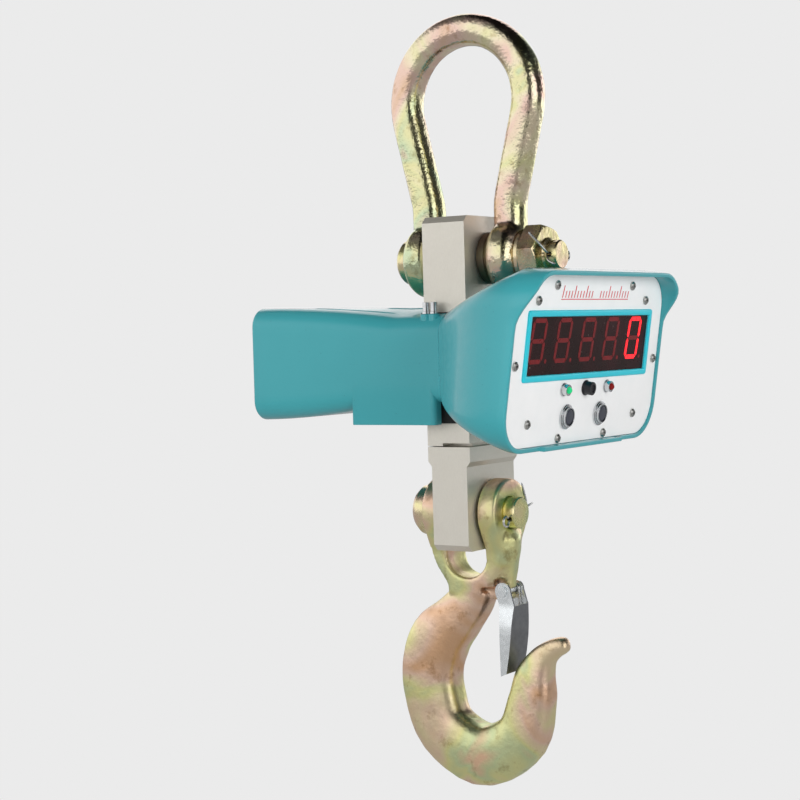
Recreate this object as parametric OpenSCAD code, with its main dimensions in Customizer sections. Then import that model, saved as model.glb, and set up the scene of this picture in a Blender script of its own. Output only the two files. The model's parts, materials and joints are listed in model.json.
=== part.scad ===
// Hanging crane scale: bow shackle, load cell, display housing and latched hook.
// Origin: where the hoist's hook bears, at the inside of the shackle's crown.
// +Z is up, the display faces -Y, +X is to the right of a person reading it.

/* [Shackle] */
// Diameter of the shackle's bar
bar_d = 22; // [20:0.5:24]
// Widest inside width of the bow
bow_in = 77; // [74:1:84]
// Height from the upper pin to the inside of the crown
bow_len = 148; // [142:1:160]
// Gap between the two ears
jaw = 42; // [40:0.5:44]
// Outside diameter of an ear
ear_d = 50.6; // [48:0.2:52]
// Thickness of an ear
ear_t = 23.5; // [22:0.5:25]
// Diameter of the upper pin
pin_d = 25; // [24:0.5:26]

/* [Load cell] */
// Width of the cell across the display
cell_w = 63; // [60:0.5:66]
// Thickness of the cell along the pins
cell_t = 34; // [32:0.5:36]
// Thickness of the cell's lower end
cell_low_t = 28.4; // [27:0.2:29]
// Distance between the upper and the lower pin
pin_gap = 176.5; // [170:0.5:190]
// Cell above the upper pin
cell_top = 29; // [28:0.5:31]
// Cell below the lower pin
cell_low = 25; // [24:0.5:26]

/* [Housing] */
// Width of the housing's waist
waist_w = 92; // [90:1:96]
// Height of the housing's waist
waist_h = 56; // [54:1:60]
// Width of the housing's back end
back_w = 100; // [96:1:106]
// Height of the housing's back end
back_h = 81; // [76:1:86]
// Distance from the cell's middle to the back end
back_y = 155; // [150:1:165]
// Width of the bezel
bezel_w = 212; // [206:1:216]
// Forward lean of the display, in degrees
lean = 8.5; // [6:0.5:11]
// How far the sun hood stands out
hood = 13; // [8:0.5:16]
// Wall of the housing
wall = 2.5; // [2:0.25:3]

/* [Hook] */
// Gap between the hook's two ears
fork = 32; // [30.5:0.5:34]
// Diameter of the lower pin
low_pin_d = 22; // [20:0.5:23]
// Half thickness of the hook at its back, across its plane
hook_t = 15.5; // [14:0.5:17]
// Length of the latch below its pivot
latch_len = 57; // [54:0.5:58]

/* [Hidden] */
$fn = 64;

// Places in the row frame
pin_z = -bow_len;                 // height of the upper pin
cell_y = 2.5;                     // the cell sits towards the pin's head by this much
low_z = -pin_gap;                 // height of the lower pin, from the upper pin

// Colours
zinc = [0.80, 0.74, 0.50];
nickel = [0.82, 0.81, 0.77];
teal = [0.27, 0.58, 0.62];
chrome = [0.85, 0.86, 0.88];
rubber = [0.08, 0.08, 0.08];
board_green = [0.08, 0.36, 0.20];

// ---- small helpers ----

// Moves from the upper pin's middle, in the cell's own plane, to the row frame
module at_cell() { translate([0, cell_y, pin_z]) children(); }
// Moves to the display plate: x along it, z up it, -y out of it
panel_y = -94.5;
panel_z = -61;
module at_panel() { at_cell() translate([0, panel_y, panel_z]) rotate([lean, 0, 0]) children(); }
// A cylinder along Y from y0 to y1
module rod_y(d, y0, y1, n = 64) {
    translate([0, y0, 0]) rotate([-90, 0, 0]) cylinder(d = d, h = y1 - y0, $fn = n);
}
// A cylinder along X, centred
module rod_x(d, l, n = 48) { rotate([0, 90, 0]) cylinder(d = d, h = l, center = true, $fn = n); }
// A rounded rectangle of plain squares and circles
module round_rect(w, h, r) {
    square([w - 2 * r, h], center = true);
    square([w, h - 2 * r], center = true);
    for (sx = [-1, 1], sz = [-1, 1])
        translate([sx * (w / 2 - r), sz * (h / 2 - r)]) circle(r = r, $fn = 48);
}
// A plate in the XZ plane from y0 to y1, made from a 2D outline
module plate(y0, y1) {
    translate([0, y1, 0]) rotate([90, 0, 0]) linear_extrude(height = y1 - y0) children();
}
// A closed skin over equal rings of points; ends capped, or joined into a loop
module skin(rings, loop = false) {
    n = len(rings[0]);
    m = len(rings);
    sides = [
        for (i = [0 : m - (loop ? 1 : 2)], j = [0 : n - 1])
        let (a = i * n + j, b = i * n + (j + 1) % n, c = ((i + 1) % m) * n)
        each [[a, c + (j + 1) % n, b], [a, c + j, c + (j + 1) % n]]
    ];
    caps = loop ? [] : [
        for (j = [1 : n - 2]) each [[0, j, j + 1], [(m - 1) * n, (m - 1) * n + j + 1, (m - 1) * n + j]]
    ];
    polyhedron(points = [for (r = rings) each r], faces = concat(sides, caps));
}
// Rings of n points round a path; side is a direction across the path
function unit(v) = v / norm(v);
function tangent(path, i) = unit(path[min(len(path) - 1, i + 1)] - path[max(0, i - 1)]);
function tube_rings(path, r, side, n) = [
    for (i = [0 : len(path) - 1]) let (d = tangent(path, i), e2 = unit(cross(d, side)), e1 = cross(e2, d)) [
        for (j = [0 : n - 1]) path[i] + r * (cos(360 * j / n) * e1 + sin(360 * j / n) * e2)
    ]
];
function mix(a, b, t) = a + (b - a) * t;
function ease(t) = let (u = min(1, max(0, t))) u * u * (3 - 2 * u);

// ---- shackle ----

bow_r = bow_in / 2 + bar_d / 2;           // radius of the crown's centre line
bow_z = -bow_in / 2;                      // centre of the crown, below the bearing point
bow_top = bow_z + bow_r;                  // centre line at the top
leg_a = 14;                               // lean of the straight part of a leg
leg_y = jaw / 2 + ear_t / 2 + 0.5;        // a leg's centre where it meets its ear
turn_r = 50;                              // bend at the foot of a leg
leg_l = (bow_r - leg_y - (bow_r + turn_r) * (1 - cos(leg_a))) / sin(leg_a);   // straight part
turn_z = bow_z - (bow_r + turn_r) * sin(leg_a) - leg_l * cos(leg_a);

// Centre line from an ear to the top of the crown
half_line = concat(
    [[0, leg_y, pin_z], [0, leg_y, turn_z - 6]],
    [for (a = [0 : leg_a / 4 : leg_a]) [0, leg_y + turn_r * (1 - cos(a)), turn_z + turn_r * sin(a)]],
    [for (a = [-leg_a : (90 + leg_a) / 16 : 89.9]) [0, bow_r * cos(a), bow_z + bow_r * sin(a)]]
);
bow_line = concat(
    half_line,
    [[0, 0, bow_top]],
    [for (i = [len(half_line) - 1 : -1 : 0]) [0, -half_line[i][1], half_line[i][2]]]
);
module bow_ear() {
    translate([0, 0, pin_z]) rotate([-90, 0, 0]) rotate_extrude()
        polygon([
            [0, jaw / 2], [18, jaw / 2], [ear_d / 2 - 1, jaw / 2 + 6], [ear_d / 2, jaw / 2 + 8],
            [ear_d / 2, jaw / 2 + ear_t - 6], [ear_d / 2 - 2, jaw / 2 + ear_t - 3],
            [19, jaw / 2 + ear_t], [0, jaw / 2 + ear_t]
        ]);
}
module shackle_bow() {
    color(zinc) difference() {
        union() {
            skin(tube_rings(bow_line, bar_d / 2, [1, 0, 0], 28));
            bow_ear();
            mirror([0, 1, 0]) bow_ear();
        }
        translate([0, 0, pin_z]) rod_y(pin_d + 0.4, -jaw / 2 - ear_t - 1, jaw / 2 + ear_t + 1);
    }
}

ear_out = jaw / 2 + ear_t;                // outer face of an ear
washer_t = 4;
nut_t = 14;
nut_y = -ear_out - washer_t - nut_t;      // front face of the nut
pin_end = -72.6;                          // front end of the upper pin
dog_d = 20;
cotter_y = (nut_y + pin_end) / 2 - 0.4;   // height of the split pin along the pin

module upper_pin() {
    color(zinc) translate([0, 0, pin_z]) difference() {
        rotate([-90, 0, 0]) rotate_extrude()
            polygon([
                [0, pin_end], [dog_d / 2 - 1, pin_end], [dog_d / 2, pin_end + 1],
                [dog_d / 2, nut_y - 2], [pin_d / 2 - 0.6, nut_y - 1],
                [pin_d / 2 - 0.6, -ear_out - 1], [pin_d / 2, -ear_out],
                [pin_d / 2, ear_out + 0.1], [15, ear_out + 0.1], [15.6, ear_out + 0.8],
                [15.6, ear_out + 6.5], [14, ear_out + 8.4], [0, ear_out + 8.4]
            ]);
        translate([0, cotter_y, 0]) rod_x(4.2, pin_d * 2);
    }
}
module ring_y(d_out, d_in, y0, y1) {
    rotate([-90, 0, 0]) rotate_extrude()
        polygon([
            [d_in / 2, y0], [d_out / 2 - 0.5, y0], [d_out / 2, y0 + 0.5], [d_out / 2, y1 - 0.5],
            [d_out / 2 - 0.5, y1], [d_in / 2, y1]
        ]);
}
// Fills the gap between the cell and the front ear
module spacer_ring() {
    color(zinc) translate([0, 0, pin_z]) ring_y(36, pin_d + 0.4, -jaw / 2 + 0.15, cell_y - cell_t / 2 - 0.4);
}
module upper_washer() {
    color(zinc) translate([0, 0, pin_z]) ring_y(38, pin_d + 0.4, -ear_out - washer_t + 0.05, -ear_out - 0.05);
}
module upper_nut() {
    af = 38;
    color(zinc) translate([0, 0, pin_z]) difference() {
        intersection() {
            translate([0, nut_y, 0]) rotate([-90, 0, 0]) rotate([0, 0, 11]) cylinder(r = af / sqrt(3), h = nut_t - 0.1, $fn = 6);
            rotate([-90, 0, 0]) rotate_extrude()
                polygon([
                    [0, nut_y], [af / 2 - 0.3, nut_y], [af / 2 + 3.4, nut_y + 2.1],
                    [af / 2 + 3.4, nut_y + nut_t - 1.2], [af / 2 + 1.4, nut_y + nut_t - 0.1],
                    [0, nut_y + nut_t - 0.1]
                ]);
        }
        rod_y(pin_d - 1, nut_y - 1, nut_y + nut_t + 1);
    }
}
// A split pin of one bent wire along X: its eye on +X, two legs that part on -X
split_bend = 2.5;
function leg_line(reach, gap, bend_a, leg) = concat(
    [[-reach - split_bend * sin(bend_a) - leg * cos(bend_a), 0, gap + split_bend * (1 - cos(bend_a)) + leg * sin(bend_a)]],
    [for (k = [4 : -1 : 1]) let (a = bend_a * k / 4) [-reach - split_bend * sin(a), 0, gap + split_bend * (1 - cos(a))]],
    [[-reach, 0, gap], [reach - 1, 0, gap]]
);
// legs: how far each bends, in degrees, and its length beyond the bend; the first on +Z
module split_pin(wire, reach, eye_d, legs) {
    gap = wire / 2 + 0.05;
    up = leg_line(reach, gap, legs[0][0], legs[0][1]);
    down = leg_line(reach, gap, legs[1][0], legs[1][1]);
    eye = [for (a = [150 : -25 : -150]) [reach + eye_d / 2 + eye_d / 2 * cos(a), 0, eye_d / 2 * sin(a)]];
    skin(tube_rings(concat(
        up, eye, [for (i = [len(down) - 1 : -1 : 0]) [down[i][0], 0, -down[i][2]]]
    ), wire / 2, [0, 1, 0], 12));
}
// The upper pin's: one leg bent up and back beside the nut, the other down
upper_wire = 1.9;
upper_legs = [
    [[-20, 9.8, 15.6], [-18.4, 7.2, 12], [-16.8, 4.4, 8.4], [-15, 2, 5], [-13.4, 0.6, 2.4], [-12, 0, 1], [11, 0, 1]],
    [[11, 0, -1], [-12, 0, -1], [-13.4, -0.4, -2.4], [-14.2, -1.8, -4.2], [-14.4, -4.4, -5.8], [-14.2, -7.4, -6.8]]
];
module upper_cotter() {
    eye = [for (a = [150 : -25 : -150]) [15 + 3.4 * cos(a), 0, 3.4 * sin(a)]];
    color(chrome) translate([0, cotter_y, pin_z])
        skin(tube_rings(concat(upper_legs[0], eye, upper_legs[1]), upper_wire / 2, [0, 1, 0.01], 12));
}

// ---- load cell ----

step_z = -139.5;                  // where the cell starts to thin
slot_z = -128;                    // middle of the relief slot below the housing
edge_cut = 4.2;                   // chamfer on the cell's ends

module load_cell() {
    h = cell_w / 2;
    t = cell_t / 2;
    l = cell_low_t / 2;
    bottom = low_z - cell_low;
    color(nickel) at_cell() difference() {
        intersection() {
            plate(-t, t) polygon([
                [-h + edge_cut, cell_top], [-h, cell_top - edge_cut], [-h, bottom + edge_cut],
                [-h + edge_cut, bottom], [h - edge_cut, bottom], [h, bottom + edge_cut],
                [h, cell_top - edge_cut], [h - edge_cut, cell_top]
            ]);
            rotate([90, 0, 90]) linear_extrude(height = cell_w + 2, center = true) polygon([
                [-t, cell_top + 1], [-t, step_z], [-l, step_z - 3.5], [-l, bottom - 1],
                [l, bottom - 1], [l, step_z - 3.5], [t, step_z], [t, cell_top + 1]
            ]);
        }
        rod_y(pin_d + 0.15, -t - 1, t + 1);
        translate([0, 0, low_z]) rod_y(low_pin_d + 0.15, -t - 1, t + 1);
        // relief slot: wide from the front, thin behind it, cut in from both sides
        for (s = [-1, 1]) {
            translate([s * h, -t / 2 + 2, slot_z]) cube([24, t + 5.4, 2.6], center = true);
            translate([s * h, t / 2 + 1, slot_z - 1]) cube([24, t, 0.6], center = true);
        }
        translate([0, -t, slot_z]) cube([cell_w + 2, 10, 2.6], center = true);
        // gauge pockets on the front and the back
        for (s = [-1, 1]) translate([0, 0, gauge_z]) rod_y(26, s > 0 ? t - 6 : -t - 1, s > 0 ? t + 1 : -t + 6);
        // threaded holes for the chassis
        for (z = chassis_z) translate([0, 0, z]) rod_x(5, cell_w + 2, 24);
    }
}
gauge_z = -70;
chassis_z = [-56, -84];
module gauge_covers() {
    color(chrome) at_cell() for (s = [-1, 1]) translate([0, 0, gauge_z])
        rod_y(25.8, s > 0 ? cell_t / 2 - 2 : -cell_t / 2 - 0.4, s > 0 ? cell_t / 2 + 0.4 : -cell_t / 2 + 2);
}
// Lead from the front gauge cover to the main board
lead = [[0, -17.5, -70], [0, -23, -70], [3, -30, -71], [7, -37, -74], [10, -43, -79], [10, -47, -84]];
module cell_lead() {
    color(rubber) at_cell() skin(tube_rings(lead, 2, [1, 0, 0], 12));
}

// ---- housing ----

waist_y = -3;                             // seam between the two housings
mid_z = -70;                              // height of the housing's axis
waist_top = mid_z + waist_h / 2;
bezel_lo = -69;                           // bezel below the display plate's origin
bezel_hi = 50;                            // and above it
bezel_r = 26;
rim = 1.6;                                // rim in front of the display plate
rim_w = 3;
lip = 4.5;                                // bottom lip in front of the display plate
lip_w = 55;                               // half its length
open_x = cell_w / 2 + 1.5;                // opening for the cell
open_y = cell_t / 2 + 1.5;

// Points round a rounded rectangle: corner arcs, with steps on the straight sides
corner_n = 6;
side_f = [0.15, 0.3, 0.45, 0.6, 0.75, 0.9];
lip_f = [0.13, 0.16, 0.84, 0.87];
top_f = [0.06, 0.14, 0.24, 0.36, 0.5, 0.64, 0.76, 0.86, 0.94];
function arc(cx, cz, r, a) = [for (i = [0 : corner_n]) [cx + r * cos(a + 90 * i / corner_n), cz + r * sin(a + 90 * i / corner_n)]];
function outline(hw, lo, hi, r) = concat(
    arc(hw - r, hi - r, r, 0),
    [for (f = top_f) [mix(hw - r, r - hw, f), hi]],
    arc(r - hw, hi - r, r, 90),
    [for (f = side_f) [-hw, mix(hi - r, lo + r, f)]],
    arc(r - hw, lo + r, r, 180),
    [for (f = lip_f) [mix(r - hw, hw - r, f), lo]],
    arc(hw - r, lo + r, r, 270),
    [for (f = side_f) [hw, mix(lo + r, hi - r, f)]]
);
// How far the rim stands out at a point of the bezel: hood above, lip below
function reach(p, q) = rim + (hood - rim) * ease((q - 12) / 28)
    + (q < 0 && abs(p) < lip_w + 1 && q < bezel_lo + 5 ? lip - rim : 0);
// A point of the display plate, o in front of it, in the cell's frame
function on_plate(p, q, o) = [
    p, panel_y - o * cos(lean) - q * sin(lean), panel_z - o * sin(lean) + q * cos(lean)
];
waist_r = 9;
arch_h = 9.5;                             // the waist's top is arched by this much
function arch(x) = arch_h * (1 - pow(min(1, abs(x) / (waist_w / 2)), 2));
function waist_pts(inset, r) = [
    for (v = outline(waist_w / 2 - inset, -waist_h / 2 + inset, waist_h / 2 - inset, r - inset))
    [v[0], waist_y, mid_z + v[1]]
];
function bezel_pts(inset, o, full, r = bezel_r) = [
    for (v = outline(bezel_w / 2 - inset, bezel_lo + inset, bezel_hi - inset, r - inset))
    on_plate(v[0], v[1], full ? reach(v[0], v[1]) : o)
];
// The flare swells outward at first: by how much at its sides, its top and its bottom
side_swell = 1;
top_swell = -0.4;
low_swell = -0.38;
// Ring t of the flare, from the waist to the bezel's back
function flare(inset, t) = let (
    r = mix(waist_r, bezel_r, pow(t, 4)),
    a = waist_pts(inset, r),
    b = bezel_pts(inset, -5.5, false, r)
) [
    for (i = [0 : len(a) - 1]) let (h = (a[i][2] - mid_z) / waist_h + 0.5) [
        mix(a[i][0], b[i][0], t + side_swell * t * (1 - t)),
        mix(a[i][1], b[i][1], t),
        mix(a[i][2], b[i][2], t + mix(low_swell, top_swell, h) * t * (1 - t))
            + (h > 0.5 ? arch(a[i][0]) * pow(1 - t, 3.5) : 0)
    ]
];
flare_n = 8;
ledge = 12;                               // width of the ledge behind the display plate
module front_housing() {
    color(teal) at_cell() difference() {
        skin(concat(
            [for (i = [0 : flare_n]) flare(0, i / flare_n)],
            [bezel_pts(0, 0, true), bezel_pts(rim_w, 0, true), bezel_pts(rim_w, -3, false),
             bezel_pts(ledge, -3, false), bezel_pts(ledge, -5.5, false)],
            [for (i = [flare_n : -1 : 0]) flare(wall, i / flare_n)]
        ), loop = true);
        translate([-open_x, -open_y, -200]) cube([2 * open_x, 2 * open_y, 190]);
        at_plate_local() panel_holes(3.4, -1, 6);
    }
}
module at_plate_local() { translate([0, panel_y, panel_z]) rotate([lean, 0, 0]) children(); }

// Rear tube: the flare of its width, height and corners along y
function back_t(y) = let (u = min(1, max(0, (y - 38) / 118))) 1 - pow(1 - u, 1.8);
function tube_hw(y) = mix(waist_w, back_w, back_t(y)) / 2;
function tube_hh(y) = mix(waist_h, back_h, back_t(y)) / 2;
function tube_pts(y, inset) = [
    for (v = outline(tube_hw(y) - inset, -tube_hh(y) + inset, tube_hh(y) - inset, mix(waist_r, 14, back_t(y)) - inset))
    [v[0], y, mid_z + v[1] + (v[1] > 0 ? arch(v[0] * waist_w / 2 / tube_hw(y)) * pow(1 - back_t(y), 1.1) : 0)]
];
tube_ys = [waist_y, 20, 38, 48, 60, 74, 90, 108, 128, back_y];
belly_y = [1, 69];                        // the deeper part, front to back
belly_z = -113.5;                         // its bottom
belly_lip = 5;                            // how far its front corners turn in
cover_y = back_y - 3.4;                   // inner face of the rear cover
cover_t = 2.5;
boss_x = back_w / 2 - 8.5;
boss_z = back_h / 2 - 8.5;
module rear_housing() {
    ys = [for (i = [len(tube_ys) - 1 : -1 : 0]) tube_ys[i]];
    color(teal) at_cell() difference() {
        union() {
            skin(concat([for (y = ys) tube_pts(y, 0)], [for (y = tube_ys) tube_pts(y, wall)]), loop = true);
            // side and back walls of the belly
            for (s = [-1, 1]) mirror([s > 0 ? 0 : 1, 0, 0])
                translate([0, 0, belly_z]) linear_extrude(height = mid_z - 20 - belly_z) polygon([
                    [waist_w / 2 - belly_lip, belly_y[0]], [waist_w / 2 - 3, belly_y[0]],
                    [waist_w / 2 - 0.9, belly_y[0] + 0.9], [waist_w / 2, belly_y[0] + 3], [waist_w / 2, 38],
                    [tube_hw(54), 54], [tube_hw(69), belly_y[1]], [tube_hw(69) - wall, belly_y[1]],
                    [tube_hw(54) - wall, 54], [waist_w / 2 - wall, 38],
                    [waist_w / 2 - wall, belly_y[0] + wall], [waist_w / 2 - belly_lip, belly_y[0] + wall]
                ]);
            translate([-tube_hw(69) + 1, belly_y[1] - wall, belly_z]) cube([2 * tube_hw(69) - 2, wall, 12]);
            // bosses for the rear screws
            for (sx = [-1, 1], sz = [-1, 1]) translate([sx * boss_x, 0, mid_z + sz * boss_z])
                rod_y(9, back_y - 22, cover_y - 1, 24);
            // flat pads under the housing bolts
            for (sx = [-1, 1], y = bolt_y) translate([sx * bolt_x, y, waist_top - 2]) cylinder(d = 8.4, h = 2 + pad_h, $fn = 32);
        }
        translate([-open_x, waist_y - 1, -140]) cube([2 * open_x, open_y - waist_y + 1, 120]);
        // the tube's bottom is open over the belly
        translate([-waist_w / 2 + 12, 20, belly_z + 5]) cube([waist_w - 24, 44, 20]);
        for (sx = [-1, 1], sz = [-1, 1]) translate([sx * boss_x, 0, mid_z + sz * boss_z])
            rod_y(3.2, back_y - 19, back_y + 1, 24);
        for (sx = [-1, 1], y = bolt_y) translate([sx * bolt_x, y, waist_top - 6]) cylinder(d = 4.4, h = 14, $fn = 24);
    }
}
module belly_cover() {
    half = waist_w / 2 - wall - 0.3;
    color(teal) at_cell() translate([0, 0, belly_z + 0.1]) linear_extrude(height = 2) polygon([
        [half, 19], [half, 38], [tube_hw(54) - wall - 0.3, 54], [tube_hw(66) - wall - 0.6, 66.2],
        [-tube_hw(66) + wall + 0.6, 66.2], [-tube_hw(54) + wall + 0.3, 54], [-half, 38], [-half, 19]
    ]);
}
bolt_x = 38.2;
pad_h = 4.4;                              // top of the bolts' pads, above the waist's edges
bolt_y = [4.4, 10.8];
module housing_bolts() {
    color(chrome) at_cell() for (sx = [-1, 1], y = bolt_y) translate([sx * bolt_x, y, 0]) {
        translate([0, 0, waist_top + pad_h + 0.05]) cylinder(d = 6, h = 1.6, $fn = 32);
        difference() {
            translate([0, 0, waist_top + pad_h + 1.5]) cylinder(d = 5, h = 6.6, $fn = 32);
            translate([0, 0, waist_top + pad_h + 5.6]) cylinder(d = 2.8, h = 5, $fn = 6);
        }
        translate([0, 0, waist_top - 8]) cylinder(d = 4, h = 8.5 + pad_h, $fn = 24);
    }
}
module seal(x, y, z0, z1) {
    translate([0, 0, z0]) linear_extrude(height = z1 - z0) difference() {
        square([2 * x, 2 * y], center = true);
        square([cell_w + 0.2, cell_t + 0.2], center = true);
    }
}
module top_seal() {
    xs = [-36 : 6 : 36];
    color(rubber) at_cell() intersection() {
        seal(open_x - 0.05, open_y - 0.05, waist_top - 5, waist_top + 15);
        plate(-30, 30) polygon(concat(
            [for (x = xs) [x, waist_top + arch(x) - 3]],
            [for (x = xs) [-x, waist_top + arch(x) + 0.5]]
        ));
    }
}
module bottom_seal() { color(rubber) at_cell() seal(open_x - 0.05, open_y - 0.05, belly_z + 0.6, mid_z - waist_h / 2 + 2.4); }

module chassis(s) {
    x0 = cell_w / 2 + 0.1;
    z0 = mid_z - waist_h / 2 + wall + 2;
    z1 = waist_top - wall - 2;
    at_cell() mirror([s > 0 ? 0 : 1, 0, 0]) difference() {
        union() {
            translate([x0, -13, z0]) cube([3, 30, z1 - z0]);
            for (z = [z0, z1 - 3]) translate([x0, -2.4, z]) cube([waist_w / 2 - wall - 3.2 - x0, 19.4, 3]);
        }
        for (z = chassis_z) translate([x0, 0, z]) rod_x(6.4, 10, 24);
        for (y = bolt_y) translate([bolt_x, y, z1 - 6]) cylinder(d = 4.1, h = 8, $fn = 24);
    }
}
module chassis_left() { color("silver") chassis(-1); }
module chassis_right() { color("silver") chassis(1); }
module chassis_bolts() {
    color("dimgray") at_cell() for (s = [-1, 1], z = chassis_z) mirror([s > 0 ? 0 : 1, 0, 0]) {
        translate([cell_w / 2 + 3.15, 0, z]) rotate([0, 90, 0]) cylinder(d = 10, h = 4.5, $fn = 6);
        translate([cell_w / 2 - 12, 0, z]) rotate([0, 90, 0]) cylinder(d = 4.9, h = 16, $fn = 24);
    }
}

// ---- back end ----

module back_outline(inset) { round_rect(back_w - 2 * inset, back_h - 2 * inset, 14 - inset); }
module at_back() { at_cell() translate([0, 0, mid_z]) children(); }
module back_holes(d) {
    for (sx = [-1, 1], sz = [-1, 1]) translate([sx * boss_x, sz * boss_z]) circle(d = d, $fn = 24);
}
module rear_gasket() {
    color(rubber) at_back() plate(cover_y - 0.95, cover_y - 0.05) difference() {
        back_outline(wall + 0.6);
        round_rect(back_w - 30, back_h - 30, 4);
        back_holes(4);
    }
}
socket_x = 22;
module rear_cover() {
    color(teal) at_back() plate(cover_y, cover_y + cover_t) difference() {
        back_outline(wall + 0.5);
        back_holes(3.4);
        translate([socket_x, 0]) circle(d = 12.2);
    }
}
module rear_screws() {
    color(chrome) at_back() for (sx = [-1, 1], sz = [-1, 1]) translate([sx * boss_x, 0, sz * boss_z]) screw_y(-1, cover_y + cover_t + 0.05, 15);
}
// A cross-recessed pan-head screw whose head lies on y and stands out along dir
module screw_y(dir, y, l) {
    translate([0, y, 0]) rotate([dir > 0 ? 90 : -90, 0, 0]) difference() {
        union() {
            cylinder(d = 6.2, h = 1, $fn = 32);
            translate([0, 0, 1]) cylinder(d1 = 6.2, d2 = 4.2, h = 0.8, $fn = 32);
            translate([0, 0, -l]) cylinder(d = 3, h = l + 0.5, $fn = 24);
        }
        for (a = [0, 90]) rotate([0, 0, a]) translate([0, 0, 1.5]) cube([3.4, 0.8, 1.6], center = true);
    }
}
module charge_socket() {
    color(chrome) at_back() translate([socket_x, 0, 0]) difference() {
        union() {
            rod_y(17, cover_y + cover_t + 0.05, back_y + 1);
            rod_y(12, back_y - 14, back_y - 0.5);
            translate([0, back_y - 7.5, 0]) rotate([-90, 0, 0]) cylinder(r = 9, h = 3, $fn = 6);
        }
        rod_y(9, back_y - 6, back_y + 3);
    }
}
tray_z = mid_z - waist_h / 2 + wall + 0.3;
pack_y = [36, 137];
pack_hw = 35;
pack_h = 47;
foot_y = 128;                             // the tray's rear feet
module battery_tray() {
    color("silver") at_cell() translate([0, 0, tray_z]) {
        translate([-pack_hw - 2, pack_y[0] - 2, 0]) cube([2 * pack_hw + 4, pack_y[1] - pack_y[0] + 4, 1.5]);
        translate([-pack_hw - 2, pack_y[0] - 2, 1]) cube([2 * pack_hw + 4, 1.5, 10]);
        translate([-pack_hw - 2, pack_y[1] + 0.5, 1]) cube([2 * pack_hw + 4, 1.5, 10]);
        foot = tray_z - (mid_z - tube_hh(foot_y) + wall);
        for (sx = [-1, 1]) translate([sx * 20, foot_y, 0.6 - foot]) cylinder(d = 8, h = foot - 0.1, $fn = 24);
    }
}
module battery() {
    color([0.2, 0.2, 0.22]) at_cell() translate([0, 0, tray_z + 1.6]) {
        translate([-pack_hw, pack_y[0], 0]) cube([2 * pack_hw, pack_y[1] - pack_y[0], pack_h]);
        for (sx = [-1, 1]) translate([sx * 24 - 3, pack_y[0] - 6, 36]) cube([6, 7, 1]);
    }
}
module battery_strap() {
    x = pack_hw + 0.2;
    color("silver") at_cell() translate([0, 96, tray_z + 1.55]) rotate([90, 0, 0]) linear_extrude(height = 12) difference() {
        translate([-x - 1, 0]) square([2 * x + 2, pack_h + 1.3]);
        translate([-x, -1]) square([2 * x, pack_h + 1.2]);
    }
}

// ---- display ----

screws = [for (s = [-1, 1]) each [[s * 53, 39.5], [s * 75.4, 29.4], [s * 97, -12.2], [s * 74, -50.6], [s * 32, -62.1]]];
posts = [for (s = [-1, 1]) each [[s * 75.4, 29.4], [s * 74, -50.6]]];
window_w = 165;
window_h = 40.4;
lamp_x = 30;
lamp_z = -29.5;
button_x = 23.3;
button_z = -48;
panel_t = 2;
module panel_holes(d, y0, y1) { for (p = screws) translate([p[0], 0, p[1]]) rod_y(d, y0, y1, 24); }
module bezel_outline(inset) {
    translate([0, (bezel_lo + bezel_hi) / 2]) round_rect(bezel_w - 2 * inset, bezel_hi - bezel_lo - 2 * inset, bezel_r - inset);
}
module panel_gasket() {
    color(rubber) at_panel() difference() {
        plate(panel_t + 0.05, 2.95) difference() {
            bezel_outline(rim_w + 0.5);
            bezel_outline(ledge - 1);
        }
        panel_holes(3.4, 0, 5);
    }
}
module front_panel() {
    color([0.92, 0.92, 0.92]) at_panel() difference() {
        plate(0, panel_t) difference() {
            bezel_outline(rim_w + 0.3);
            square([window_w + 0.4, window_h + 0.4], center = true);
        }
        panel_holes(3.4, -1, 5);
        for (s = [-1, 1]) {
            translate([s * lamp_x, 0, lamp_z]) rod_y(6.2, -1, 5, 24);
            translate([s * button_x, 0, button_z]) rod_y(14.2, -1, 5);
        }
        translate([0, 0, lamp_z]) rod_y(8.2, -1, 5, 32);
    }
}
module panel_screws() {
    color(chrome) at_panel() for (p = screws) translate([p[0], 0, p[1]]) screw_y(1, -0.05, abs(p[0]) > 70 && abs(p[0]) < 80 ? 8 : 9);
}
module window_frame() {
    color([0.12, 0.78, 0.86]) at_panel() plate(-1.5, -0.05) difference() {
        round_rect(173.4, 46.4, 1.5);
        square([window_w, window_h], center = true);
    }
}
module display_filter() {
    color([0.25, 0.02, 0.03]) at_panel() {
        plate(0.2, panel_t + 0.1) square([window_w, window_h], center = true);
        plate(panel_t + 0.05, 3.5) square([window_w + 7, window_h + 6], center = true);
    }
}
module display_board() {
    color(board_green) at_panel() difference() {
        plate(15.2, 16.8) translate([0, -10]) square([176, 88], center = true);
        for (s = [-1, 1]) translate([s * button_x, 0, button_z]) rod_y(19, 14, 18);
        for (p = posts) translate([p[0], 0, p[1]]) rod_y(3.2, 14, 18, 24);
    }
}
digit_h = 30;
digit_pitch = 33.4;
digit_x = -3.5;                           // the row stands a little left of and above the middle
digit_z = 3.2;
digit_w = 20;
seg = 3.6;
digit_lean = 6;
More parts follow.
